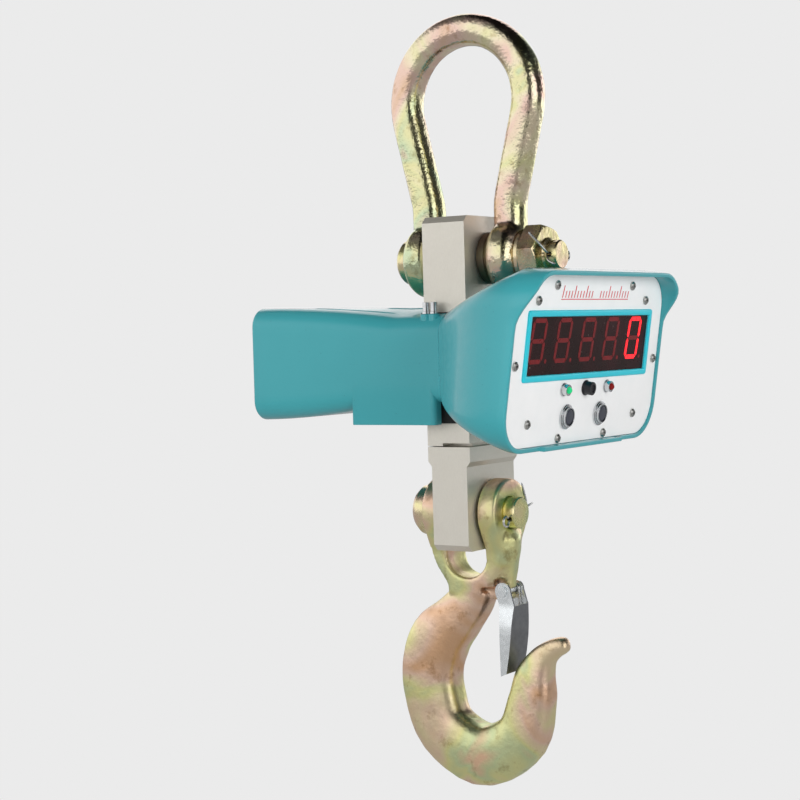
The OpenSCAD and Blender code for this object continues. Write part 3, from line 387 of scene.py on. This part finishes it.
M = {
    "forged": zinc_material("zinc_forged", 0.17, 0.55),
    "hook": zinc_material("zinc_hook", 0.36, 0.30, 0.0, WARM_ZINC),
    "turned": zinc_material("zinc_turned", 0.24, 0.20, 0.05, WARM_ZINC),
    # painted shadow: this zinc is mixed mostly to dark brown, for the shadow between the cell and the
    # shackle's ear
    "shadowed_zinc": zinc_material("zinc_painted_shadow", 0.34, 0.15, 0.80),
    "nickel": nickel_material(),
    "teal": teal_material("enamel_teal", "3D9FA7", "399AA2"),
    "rim": teal_material("enamel_rim", "56CAD1", "4EC3CB", 0.32),
    "chrome": bright_material("chrome", "DADCDE", 0.10, 0.4),
    "zinc_white": bright_material("zinc_white", "F4F8FA", 0.20, 0.2, 0.85),
    # painted shade: a darker grey copy of the latch's plating, for its web
    "latch_web_shaded": bright_material("latch_web_shaded", "94969A", 0.42, 0.8),
    "screw": bright_material("screw_steel", "C2C2BE", 0.24, 0.8),
    "wire": bright_material("wire_steel", "E2E2E0", 0.22, 0.4),
    "bracket": bright_material("bracket_steel", "B9BBBD", 0.35, 0.6),
    "rubber": plain_material("rubber_black", "141414", 0.62, 700, 0.00008, "1E1E1E"),
    "film": plain_material("panel_white", "F6F6F6", 0.34, 1200, 0.00002, "F2F3F3", Coat_Weight=0.1),
    "cyan": plain_material("trim_cyan", "18C4D6", 0.34, 2600, 0.000002, "1CC8D9", Coat_Weight=0.2),
    "window": window_material(),
    "dim": glow_material("segment_dim", "6E1216", "C01820", 0.06),
    "lit": glow_material("segment_lit", "FF3038", "FF1420", 1.15),
    "block": plain_material("digit_case", "0C0809", 0.3, 900, 0.00003, "140A0A"),
    "board": plain_material("board_green", "14502C", 0.35, 1100, 0.00004, "1A6236"),
    "brass": bright_material("brass", "C99A4A", 0.28, 0.5),
    "black": plain_material("plastic_black", "15151A", 0.36, 900, 0.00005, "1D1D22"),
    "case": plain_material("battery_case", "26262A", 0.5, 900, 0.00006, "303036"),
    "green": glow_material("lens_green", "1FB873", "25E08C", 0.35, 0.15),
    "red": glow_material("lens_red", "8C1E1C", "A01818", 0.05, 0.15),
    "button": plain_material("button_grey", "3A3D48", 0.34, 900, 0.00005, "2F323C"),
    "ink": plain_material("ink_red", "D8283C", 0.45, 900, 0.00002, "C8202F"),
}


# ---------------------------------------------------------------- mesh helpers
def add_piece(name, mesh, node, mat, body=None):
    """Links a piece, gives it its look and its body, and hides the CAD nodes it stands for."""
    ob = bpy.data.objects.new(name, mesh)
    scene.collection.objects.link(ob)
    mesh.materials.clear()
    for m in mat if isinstance(mat, (list, tuple)) else [mat]:
        mesh.materials.append(m)
    nodes = [node] if isinstance(node, str) else list(node or [])
    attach(ob, body or NODE_BODY[nodes[0]])
    if nodes:
        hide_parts(*nodes)
    return ob


def shade(mesh, angle=40):
    """Smooth shading, sharp along edges above an angle in degrees."""
    for p in mesh.polygons:
        p.use_smooth = True
    mesh.set_sharp_from_angle(angle=math.radians(angle))


def baked(mesh, *modifiers):
    """The mesh after modifiers, each (type, settings)."""
    ob = bpy.data.objects.new("work", mesh)
    scene.collection.objects.link(ob)
    for kind, values in modifiers:
        mod = ob.modifiers.new(kind, kind)
        for key, value in values.items():
            setattr(mod, key, value)
    out = bpy.data.meshes.new_from_object(ob.evaluated_get(bpy.context.evaluated_depsgraph_get()))
    bpy.data.objects.remove(ob)
    return out


def welded(node):
    """A clean copy of a CAD node's mesh, with flat faces joined up."""
    bm = bmesh.new()
    bm.from_mesh(frame["nodes"][node].data)
    bmesh.ops.remove_doubles(bm, verts=bm.verts, dist=2e-6)
    bmesh.ops.dissolve_limit(bm, angle_limit=math.radians(0.8), verts=bm.verts, edges=bm.edges)
    mesh = bpy.data.meshes.new(node + "_mesh")
    bm.to_mesh(mesh)
    bm.free()
    return mesh


def machined(node, mat, edge, segments=2):
    """A CAD node with its edges rounded."""
    mesh = baked(welded(node), ("BEVEL", dict(
        width=edge * MM, segments=segments, limit_method="ANGLE", angle_limit=math.radians(32),
        use_clamp_overlap=True, miter_outer="MITER_ARC")))
    shade(mesh, 45)
    ob = add_piece(node + "_finished", mesh, node, mat)
    ob.modifiers.new("normals", "WEIGHTED_NORMAL").keep_sharp = True
    return ob


def roughen(mesh, size, depth, seed):
    """Moves each point along its normal by smooth noise, as a forging's skin."""
    offset = Vector((seed, 3.1 * seed, -1.7 * seed))
    normals = [v.normal.copy() for v in mesh.vertices]
    for v, n in zip(mesh.vertices, normals):
        p = v.co / (size * MM) + offset
        v.co += n * depth * MM * (noise.noise(p) + 0.5 * noise.noise(p * 2.3))


def forged(mesh, voxel, rounds, size, depth, seed):
    """A mesh rounded as a forging: remeshed, relaxed and given a lumpy skin."""
    mesh = baked(
        mesh,
        ("REMESH", dict(mode="VOXEL", voxel_size=voxel * MM)),
        ("SMOOTH", dict(factor=0.5, iterations=rounds)),
    )
    roughen(mesh, size, depth, seed)
    for p in mesh.polygons:
        p.use_smooth = True
    return mesh


def grid_mesh(name, rings, loop=False):
    """A closed skin over equal rings of points in millimetres."""
    n = len(rings[0])
    m = len(rings)
    verts = [tuple(Vector(p) * MM) for r in rings for p in r]
    faces = []
    for i in range(m if loop else m - 1):
        for j in range(n):
            a, b = i * n + j, i * n + (j + 1) % n
            c, d = ((i + 1) % m) * n + (j + 1) % n, ((i + 1) % m) * n + j
            faces.append((a, b, c, d))
    if not loop:
        faces.append(tuple(range(n - 1, -1, -1)))
        faces.append(tuple((m - 1) * n + j for j in range(n)))
    mesh = bpy.data.meshes.new(name)
    mesh.from_pydata(verts, [], faces)
    bm = bmesh.new()
    bm.from_mesh(mesh)
    bmesh.ops.recalc_face_normals(bm, faces=bm.faces)
    bm.to_mesh(mesh)
    bm.free()
    return mesh


def box_mesh(lo, hi, matrix):
    """A box between two corners in millimetres."""
    bm = bmesh.new()
    bmesh.ops.create_cube(bm, size=1)
    for v in bm.verts:
        v.co = Vector((lo[k] + (hi[k] - lo[k]) * (v.co[k] + 0.5) for k in range(3)))
    bm.transform(matrix)
    bm.transform(Matrix.Scale(MM, 4))
    mesh = bpy.data.meshes.new("box")
    bm.to_mesh(mesh)
    bm.free()
    return mesh


def turned_mesh(profile, matrix, n):
    """A solid turned about local z from (radius, height) points; matrix in millimetres."""
    bm = bmesh.new()
    verts = [bm.verts.new((r, 0, h)) for r, h in profile]
    edges = [bm.edges.new((a, b)) for a, b in zip(verts, verts[1:])]
    bmesh.ops.spin(bm, geom=verts + edges, cent=(0, 0, 0), axis=(0, 0, 1), angle=2 * math.pi, steps=n,
                   use_merge=True, use_duplicate=False)
    bmesh.ops.remove_doubles(bm, verts=bm.verts, dist=1e-4)
    bmesh.ops.recalc_face_normals(bm, faces=bm.faces)
    bm.transform(Matrix.Scale(MM, 4) @ matrix)
    mesh = bpy.data.meshes.new("turned")
    bm.to_mesh(mesh)
    bm.free()
    return mesh


def joined(meshes, name="joined"):
    """Several meshes as one."""
    bm = bmesh.new()
    for m in meshes:
        bm.from_mesh(m)
    mesh = bpy.data.meshes.new(name)
    bm.to_mesh(mesh)
    bm.free()
    return mesh


def cut(mesh, tools):
    """The mesh less each closed tool mesh."""
    for tool in tools:
        ob = bpy.data.objects.new("tool", tool)
        scene.collection.objects.link(ob)
        mesh = baked(mesh, ("BOOLEAN", dict(operation="DIFFERENCE", solver="EXACT", object=ob)))
        bpy.data.objects.remove(ob)
    return mesh


def plate_mesh(outline, low, high, matrix):
    """A plate over a 2D outline, from height low to high."""
    bm = bmesh.new()
    face = bm.faces.new([bm.verts.new((x, y, low)) for x, y in outline])
    top = bmesh.ops.extrude_face_region(bm, geom=[face])
    for v in top["geom"]:
        if isinstance(v, bmesh.types.BMVert):
            v.co.z = high
    bmesh.ops.recalc_face_normals(bm, faces=bm.faces)
    bm.transform(Matrix.Scale(MM, 4) @ matrix)
    mesh = bpy.data.meshes.new("plate")
    bm.to_mesh(mesh)
    bm.free()
    return mesh


def soft_foot(mesh, z):
    """Rounds the edges of a plate that lie at height z."""
    bm = bmesh.new()
    bm.from_mesh(mesh)
    low = [e for e in bm.edges if all(abs(v.co.z - z * MM) < 1e-6 for v in e.verts)]
    bmesh.ops.bevel(bm, geom=low, offset=0.4 * MM, segments=3, profile=0.5, affect="EDGES")
    bm.to_mesh(mesh)
    bm.free()
    return mesh


def rounded_rect(w, h, r, n):
    """Points round a rectangle with corners of radius r."""
    pts = []
    for sx, sy, a0 in ((1, 1, 0), (-1, 1, 90), (-1, -1, 180), (1, -1, 270)):
        for k in range(n + 1):
            a = math.radians(a0 + 90 * k / n)
            pts.append((sx * (w / 2 - r) + r * math.cos(a), sy * (h / 2 - r) + r * math.sin(a)))
    return pts


def circle(cx, cy, r, n):
    angles = [2 * math.pi * k / n for k in range(n)]
    return [(cx + r * math.cos(a), cy + r * math.sin(a)) for a in angles]


# ---------------------------------------------------------------- housing
# The seam between the housings, the height of their axis, and the section at the waist
WAIST_Y, MID_Z, WAIST_W, WAIST_H, WAIST_R, ARCH = -3.0, -70.0, 92.0, 56.0, 9.0, 9.5
# The bezel, from the display plate's origin, and its rim, sun hood and bottom lip
BEZEL_LO, BEZEL_HI, BEZEL_W, BEZEL_R = -69.0, 50.0, 212.0, 26.0
RIM, RIM_W, HOOD, LIP, LIP_W, WALL, LEDGE = 1.6, 3.0, 13.0, 4.5, 55.0, 2.5, 12.0
# Half the opening for the load cell
OPEN_X, OPEN_Y = 33.0, 18.5
# The tube's section and place at the back, where it begins to widen, and the run of that widening
BACK_W, BACK_H, BACK_Y, BACK_R = 100.0, 81.0, 155.0, 14
STRAIGHT_Y, WIDEN_RUN = 38, 118
# The upright bolts beside the cell
BOLT_X, BOLT_YS = 38.2, (4.4, 10.8)
# Points round each corner, along the top and along a side of a ring
CORNER_STEPS, TOP_STEPS, SIDE_STEPS = 10, 22, 14


def lerp(a, b, t):
    return a + (b - a) * t


def ease(t):
    """A smooth step from 0 to 1."""
    u = min(1, max(0, t))
    return u * u * (3 - 2 * u)


def rect_ring(hw, lo, hi, r):
    """Points round a rounded rectangle, the same number whatever its size."""
    def arc(cx, cz, a0):
        angles = [math.radians(a0 + 90 * k / CORNER_STEPS) for k in range(CORNER_STEPS + 1)]
        return [(cx + r * math.cos(a), cz + r * math.sin(a)) for a in angles]

    def line(a, b, n):
        return [(lerp(a[0], b[0], k / n), lerp(a[1], b[1], k / n)) for k in range(1, n)]

    def low_line(a, b):
        """Closely paired points where the lip begins and ends."""
        edge = LIP_W / (BEZEL_W / 2 - BEZEL_R)
        steps = [0.5 - 0.5 * edge - 0.004, 0.5 - 0.5 * edge + 0.004, 0.3, 0.5, 0.7,
                 0.5 + 0.5 * edge - 0.004, 0.5 + 0.5 * edge + 0.004]
        return [(lerp(a[0], b[0], t), lerp(a[1], b[1], t)) for t in sorted(steps)]

    return (
        arc(hw - r, hi - r, 0) + line((hw - r, hi), (r - hw, hi), TOP_STEPS)
        + arc(r - hw, hi - r, 90) + line((-hw, hi - r), (-hw, lo + r), SIDE_STEPS)
        + arc(r - hw, lo + r, 180) + low_line((r - hw, lo), (hw - r, lo))
        + arc(hw - r, lo + r, 270) + line((hw, lo + r), (hw, hi - r), SIDE_STEPS)
    )


def arch(x):
    """Rise of the arched top above a flat one."""
    return ARCH * (1 - min(1, abs(x) / (WAIST_W / 2)) ** 2)


def on_plate(p, q, o):
    """A point given along, up and out of the display plate."""
    return PANEL @ Vector((p, q, o))


def reach(p, q):
    """How far the bezel's edge stands out: rim, sun hood or lip."""
    lip = q < 0 and abs(p) < LIP_W and q < BEZEL_LO + 5
    return RIM + (HOOD - RIM) * ease((q - 12) / 28) + (LIP - RIM if lip else 0)


def bezel_ring(inset, out, full=False, r=BEZEL_R):
    """A ring of the bezel; a full one follows the hood and the lip."""
    return [on_plate(p, q, reach(p, q) + out if full else out)
            for p, q in rect_ring(BEZEL_W / 2 - inset, BEZEL_LO + inset, BEZEL_HI - inset, r - inset)]


def flare_ring(inset, t):
    """A ring of the flare, t from 0 at the waist to 1 at the bezel."""
    r = lerp(WAIST_R, BEZEL_R, t ** 4)
    a = rect_ring(WAIST_W / 2 - inset, -WAIST_H / 2 + inset, WAIST_H / 2 - inset, r - inset)
    b = bezel_ring(inset, -5.5, False, r)
    wide = t + t * (1 - t)
    out = []
    for (x, z), v in zip(a, b):
        h = z / WAIST_H + 0.5
        tall = t + lerp(-0.38, -0.4, h) * t * (1 - t)
        rise = arch(x) * (1 - t) ** 3.5 if h > 0.5 else 0
        out.append(Vector((
            lerp(x, v.x, wide),
            lerp(WAIST_Y + CELL.y, v.y, t),
            lerp(MID_Z + z + CELL.z, v.z, tall) + rise,
        )))
    return out


def front_housing():
    """The flare and bezel as one shell, cut for the load cell."""
    steps = 30
    rings = [flare_ring(0, (k / steps) ** 0.9) for k in range(steps + 1)]
    n_flare = len(rings)
    edge = [(0, -0.5), (0.25, -0.12), (0.7, 0), (RIM_W - 0.5, 0), (RIM_W - 0.1, -0.15), (RIM_W, -0.5)]
    rings += [bezel_ring(inset, out, True) for inset, out in edge]
    rings += [bezel_ring(inset, out) for inset, out in ((RIM_W, -3), (LEDGE, -3), (LEDGE, -5.5))]
    rings += [flare_ring(WALL, (k / 12) ** 0.9) for k in range(12, -1, -1)]
    mesh = grid_mesh("front", rings, True)
    n = len(rings[0])
    for p in mesh.polygons:
        ring = p.index // n
        p.material_index = 1 if n_flare <= ring < n_flare + len(edge) - 1 else 0
    opening = box_mesh((-OPEN_X, -OPEN_Y, -200), (OPEN_X, OPEN_Y, -10), Matrix.Translation(CELL))
    mesh.materials.append(M["teal"])
    mesh.materials.append(M["rim"])
    mesh = cut(mesh, [opening])
    shade(mesh, 42)
    add_piece("front_shell", mesh, "front_housing", [M["teal"], M["rim"]])


def back_t(y):
    """0 at the waist's section, 1 at the back end's."""
    return 1 - (1 - min(1, max(0, (y - STRAIGHT_Y) / WIDEN_RUN))) ** 1.8


def tube_ring(y, inset):
    """A ring of the rear tube at distance y behind the cell."""
    t = back_t(y)
    hw, hh = lerp(WAIST_W, BACK_W, t) / 2, lerp(WAIST_H, BACK_H, t) / 2
    out = []
    for x, z in rect_ring(hw - inset, -hh + inset, hh - inset, lerp(WAIST_R, BACK_R, t) - inset):
        rise = arch(x * WAIST_W / 2 / hw) * (1 - t) ** 1.1 if z > 0 else 0
        out.append(CELL + Vector((x, y, MID_Z + z + rise)))
    return out


def tube_half(y):
    """Half the tube's width at y."""
    return lerp(WAIST_W, BACK_W, back_t(y)) / 2


# The belly under the waist: its rear end and its underside
BELLY_END, BELLY_Z = 69.0, -113.5
# How far its walls stand proud of the tube, so that no two faces share a plane
WALL_PROUD = 0.04


def rear_housing():
    """The tube, the walls under it, the bosses of its bolts and the beads on its top."""
    ys = [WAIST_Y, 0, 8, 20, 32, 38, 42, 48, 54, 60, 67, 74, 82, 90, 100, 110, 120, 132, 144]
    ys.append(BACK_Y - 1.4)
    lip = [(BACK_Y, WALL - 0.5), (BACK_Y, 1.2), (BACK_Y - 0.25, 0.5), (BACK_Y - 0.8, 0.1)]
    rings = [tube_ring(y, inset) for y, inset in lip]
    rings += [tube_ring(y, 0) for y in reversed(ys)] + [tube_ring(y, WALL) for y in ys]
    tube = grid_mesh("tube", rings, True)
    half = WAIST_W / 2

    def wall_outline(s):
        end = BELLY_END
        outer = [(half - 8, 1), (half - 3.6, 1), (half - 1.8, 1.5), (half - 0.6, 2.7), (half, 4.6)]
        outer += [(half, 5.2), (half, 37.4)] + [(tube_half(y), y) for y in (46, 54, 62, end - 1)]
        outer += [(tube_half(end) - 0.3, end - 0.3), (tube_half(end) - 1, end)]
        inner = [(tube_half(end) - 4, end - 2.5), (tube_half(54) - 2.6, 54), (half - 2.6, 38)]
        inner += [(half - 2.6, 3.5), (half - 8, 3.5)]
        return [(s * (x + WALL_PROUD), y) for x, y in outer + inner]

    at = Matrix.Translation(CELL)
    end_half = tube_half(BELLY_END)
    walls = [soft_foot(plate_mesh(wall_outline(s), BELLY_Z, MID_Z - 15.4, at), BELLY_Z + CELL.z)
             for s in (-1, 1)]
    walls.append(box_mesh((3 - end_half, BELLY_END - 2.5, BELLY_Z),
                          (end_half - 3, BELLY_END, BELLY_Z + 12), at))
    boss = [(0, -2), (4.2, -2), (4.2, 4.0), (3.8, 4.4), (0, 4.4)]
    for sx in (-1, 1):
        for y in BOLT_YS:
            foot = CELL + Vector((sx * BOLT_X, y, MID_Z + WAIST_H / 2))
            walls.append(turned_mesh(boss, Matrix.Translation(foot), 32))
    tools = [
        box_mesh((-OPEN_X, WAIST_Y - 1, -140), (OPEN_X, OPEN_Y, -20), at),
        box_mesh((-WAIST_W / 2 + 12, 20, BELLY_Z + 5), (WAIST_W / 2 - 12, 64, BELLY_Z + 25), at),
    ]
    tube = cut(tube, tools)
    shade(tube, 42)
    for w in walls:
        shade(w, 42)
    mesh = joined([tube] + walls, "rear")
    shade(mesh, 42)
    add_piece("rear_shell", mesh, "rear_housing", M["teal"])
    # two thin creases, drawn as dark beads, along the arched top
    beads = []
    for s in (-1, 1):
        for x, y0, y1 in ((30, 42, 112), (13, 26, 60)):
            path = []
            for k in range(25):
                y = lerp(y0, y1, k / 24)
                t = back_t(y)
                z = MID_Z + lerp(WAIST_H, BACK_H, t) / 2 + arch(x) * (1 - t) ** 1.1
                path.append(CELL + Vector((s * x, y, z + 0.05)))
            rings = []
            for k, c in enumerate(path):
                w = 0.9 * math.sqrt(max(0.02, 1 - (2 * k / 24 - 1) ** 8))
                rings.append([c + Vector((w * math.cos(a), 0, 0.45 * w * math.sin(a)))
                              for a in (2 * math.pi * j / 10 for j in range(10))])
            beads.append(grid_mesh("bead", rings))
    mesh = joined(beads, "beads")
    shade(mesh, 60)
    add_piece("top_beads", mesh, None, M["teal"], "scale")


# ---------------------------------------------------------------- display
# The digits' spacing and middle on the plate, their size, the width of a segment, and their slant in degrees
DIGIT_PITCH, DIGIT_X, DIGIT_Q = 33.4, -3.5, 3.2
DIGIT_W, DIGIT_H, SEG = 19.0, 29.5, 2.9
DIGIT_SLANT = 7
# The window's frame
FRAME_W, FRAME_H = 173.4, 46.4
# The printed motif: first tick, spacing, foot, width, heights and lean of the ticks
TICK_X, TICK_STEP, TICK_FOOT, TICK_W = -45, 4, 31.2, 1.1
TICK_LONG, TICK_SHORT, TICK_LEAN = 8.0, 4.6, 0.25


def bar(a, b, half):
    """A pointed bar from a to b, as seven-segment displays have."""
    d = (Vector(b) - Vector(a)).normalized()
    n = Vector((-d.y, d.x)) * half
    a, b = Vector(a) + d * 0.35, Vector(b) - d * 0.35
    d *= half
    return [tuple(v) for v in (a, a + d + n, b - d + n, b, b - d - n, a + d - n)]


def display():
    """The digits' segments, the window with its frame, and the printed motif."""
    w, h = DIGIT_W / 2 - SEG / 2, DIGIT_H / 2 - SEG / 2
    bars = {
        "a": ((-w, h), (w, h)), "b": ((w, h), (w, 0)), "c": ((w, 0), (w, -h)), "d": ((w, -h), (-w, -h)),
        "e": ((-w, -h), (-w, 0)), "f": ((-w, 0), (-w, h)), "g": ((-w, 0), (w, 0)),
    }
    slant = math.tan(math.radians(DIGIT_SLANT))
    dim, lit = [], []
    for i in range(5):
        cx = (i - 2) * DIGIT_PITCH + DIGIT_X
        for key, (a, b) in bars.items():
            pts = [(x + cx + y * slant, y + DIGIT_Q) for x, y in bar(a, b, SEG / 2)]
            glows = i == 4 and key != "g"
            (lit if glows else dim).append(plate_mesh(pts, -0.19, -0.08 if glows else -0.12, PANEL))
        dim.append(plate_mesh(circle(cx + DIGIT_W / 2 + 2.6, DIGIT_Q - h, 1.4, 20), -0.19, -0.12, PANEL))
    for name, parts, mat in (("segments_dim", dim, "dim"), ("segments_lit", lit, "lit")):
        mesh = joined(parts, name)
        shade(mesh, 30)
        add_piece(name, mesh, None, M[mat], "scale")
    # the dark red window
    machined("display_filter", M["window"], 0.2)
    # frame: a raised moulding with rounded edges
    outer = [(0, -0.05), (0, 0.9), (0.35, 1.35), (0.9, 1.5)]
    inner = [(3.2, 1.5), (3.8, 1.35), (4.15, 0.9), (4.2, -0.05)]
    rings = []
    for inset, out in outer + inner:
        corner = max(0.3, 2.2 - inset * 0.45)
        outline = rounded_rect(FRAME_W - 2 * inset, FRAME_H - 2 * inset, corner, 6)
        rings.append([on_plate(x, y, out) for x, y in outline])
    mesh = grid_mesh("frame", rings, True)
    shade(mesh, 50)
    add_piece("window_moulding", mesh, "window_frame", M["cyan"])
    # the printed motif: a plain row of slanted ticks, long and short
    ticks = []
    for k in range(24):
        p = TICK_X + k * TICK_STEP
        if k in (11, 12):
            continue
        tall = TICK_LONG if k % 4 == 0 else TICK_SHORT
        foot = [(p, TICK_FOOT), (p + TICK_W, TICK_FOOT)]
        head = [(x + TICK_LEAN * tall, y + tall) for x, y in reversed(foot)]
        ticks.append(plate_mesh(foot + head, 0.0, 0.06, PANEL))
    ticks.append(plate_mesh([(-46, 29.9), (48.6, 29.9), (48.8, 30.5), (-45.8, 30.5)], 0.0, 0.06, PANEL))
    mesh = joined(ticks, "ticks")
    add_piece("printed_ticks", mesh, None, M["ink"], "scale")


# ---------------------------------------------------------------- shackle, hook and fittings
# The shackle: bar, inside of the bow, gap between the ears, their width and thickness, and the pin
BAR, BOW_IN, JAW, EAR_D, EAR_T, PIN_D = 22.0, 77.0, 42.0, 50.6, 23.5, 25.0
# How square the bar's section is: 1 is round, less is squarer
SQUARE_U, SQUARE_V = 0.72, 0.92


def bow_line():
    """The bar's centre line: (y, z) from one ear over the crown to the other."""
    bow_r = BOW_IN / 2 + BAR / 2
    bow_z = -BOW_IN / 2
    lean, turn = math.radians(14), 50.0
    leg_y = JAW / 2 + EAR_T / 2 + 0.5
    leg = (bow_r - leg_y - (bow_r + turn) * (1 - math.cos(lean))) / math.sin(lean)
    turn_z = bow_z - (bow_r + turn) * math.sin(lean) - leg * math.cos(lean)
    half = [(leg_y, CELL.z + 4), (leg_y, (CELL.z + turn_z) / 2), (leg_y, turn_z - 6)]
    for k in range(9):
        a = lean * k / 8
        half.append((leg_y + turn * (1 - math.cos(a)), turn_z + turn * math.sin(a)))
    start = half[-1]
    end = (bow_r * math.cos(-lean), bow_z + bow_r * math.sin(-lean))
    half += [(lerp(start[0], end[0], k / 8), lerp(start[1], end[1], k / 8)) for k in range(1, 8)]
    half += [(bow_r * math.cos(a), bow_z + bow_r * math.sin(a))
             for a in (lerp(-lean, math.pi / 2, k / 30) for k in range(30))]
    return half + [(0, bow_z + bow_r)] + [(-y, z) for y, z in reversed(half)]


def shackle_bow():
    """The bar swept along its line, the two ears, and the pin's bore cut through them."""
    line = bow_line()
    rings = []
    for k, (y, z) in enumerate(line):
        y0, z0 = line[max(0, k - 1)]
        y1, z1 = line[min(len(line) - 1, k + 1)]
        d = Vector((0, y1 - y0, z1 - z0)).normalized()
        across = Vector((0, -d.z, d.y))
        ring = []
        for j in range(40):
            a = 2 * math.pi * j / 40
            cx, cy = math.cos(a), math.sin(a)
            u = math.copysign(abs(cx) ** SQUARE_U, cx) * BAR / 2
            v = math.copysign(abs(cy) ** SQUARE_V, cy) * BAR / 2
            ring.append(Vector((u, y, z)) + across * v)
        rings.append(ring)
    parts = [grid_mesh("bar", rings)]
    a, b = JAW / 2, JAW / 2 + EAR_T
    profile = [(0, a), (18, a), (EAR_D / 2 - 1, a + 6), (EAR_D / 2, a + 8), (EAR_D / 2, b - 6),
               (EAR_D / 2 - 2, b - 3), (19, b), (0, b)]
    for s in (-1, 1):
        turn = Matrix.Translation((0, 0, CELL.z)) @ Matrix.Rotation(-s * math.pi / 2, 4, "X")
        parts.append(turned_mesh(profile, turn, 72))
    mesh = forged(joined(parts), 1.2, 7, 11, 0.16, 1.0)
    bore = turned_mesh([(0, -60), (PIN_D / 2 + 0.2, -60), (PIN_D / 2 + 0.2, 60), (0, 60)],
                       Matrix.Translation((0, 0, CELL.z)) @ Matrix.Rotation(-math.pi / 2, 4, "X"), 64)
    mesh = cut(mesh, [bore])
    shade(mesh, 50)
    add_piece("shackle_forging", mesh, "shackle_bow", M["forged"])


def steelwork():
    """The load path: shackle, pins, cell, hook and latch."""
    shackle_bow()
    mesh = forged(welded("hook"), 1.2, 7, 12, 0.14, 2.0)
    add_piece("hook_forging", mesh, "hook", M["hook"])
    for node, edge in (("upper_pin", 0.5), ("upper_washer", 0.5), ("upper_nut", 0.6), ("lower_pin", 0.6)):
        machined(node, M["turned"], edge)
    # the spacer's dark zinc is painted shadow between the cell and the ear
    machined("spacer_ring", M["shadowed_zinc"], 0.4)
    machined("load_cell", M["nickel"], 0.6, 3)
    for node in ("upper_cotter", "lower_cotter"):
        mesh = baked(welded(node), ("SUBSURF", dict(levels=1, render_levels=1)))
        shade(mesh, 60)
        add_piece(node + "_wire", mesh, node, M["wire"])
    latch = machined("latch", [M["zinc_white"], M["latch_web_shaded"]], 0.35)
    # the web faces along y; it is rougher than the flanges and painted darker, as painted shade
    for p in latch.data.polygons:
        p.material_index = 1 if abs(p.normal.y) > 0.7 else 0
    machined("latch_rivet", M["zinc_white"], 0.4)
    machined("latch_spring", M["wire"], 0.1)


def fittings():
    """What is bolted to the housing, and what stands inside it."""
    for node, mat, slot, edge in (
        ("housing_bolts", "chrome", "bright_steel", 0.35),
        ("rear_cover", "teal", "teal_paint", 0.5),
        ("belly_cover", "teal", "teal_paint", 0.4),
        ("rear_screws", "screw", "bright_steel", 0.15),
        ("panel_screws", "screw", "bright_steel", 0.15),
        ("charge_socket", "chrome", "bright_steel", 0.3),
        ("lamp_bezels", "chrome", "bright_steel", 0.25),
        ("green_lamp", "green", "green_lens", 0.1),
        ("red_lamp", "red", "red_lens", 0.1),
        ("infrared_receiver", "black", "black_parts", 0.3),
        ("button_left_body", "chrome", "bright_steel", 0.3),
        ("button_right_body", "chrome", "bright_steel", 0.3),
        ("button_left_cap", "button", "button_black", 0.25),
        ("button_right_cap", "button", "button_black", 0.25),
        ("front_panel", "film", "panel_film", 0.3),
        ("gauge_covers", "bracket", "bright_steel", 0.3),
    ):
        machined(node, M[mat], edge)
    # pieces that stay as the CAD has them, under their material
    for mat, nodes in (
        # the bottom seal's black rubber also stands in for painted shadow in the gap between the belly and
        # the flare
        ("rubber", ("top_seal", "bottom_seal", "rear_gasket", "panel_gasket", "cell_lead")),
        ("bracket", ("chassis_left", "chassis_right", "battery_tray", "battery_strap", "button_nuts")),
        ("screw", ("chassis_bolts",)),
        ("case", ("battery",)),
        ("board", ("display_board", "main_board")),
        ("block", ["digit_%d" % k for k in range(1, 6)]),
        ("brass", ("board_standoffs",)),
        ("black", ("board_parts",)),
        ("wire", ("button_springs",)),
    ):
        for node in nodes:
            data = frame["nodes"][node].data
            data.materials.clear()
            data.materials.append(M[mat])


front_housing()
rear_housing()
display()
steelwork()
fittings()

bpy.context.view_layer.update()
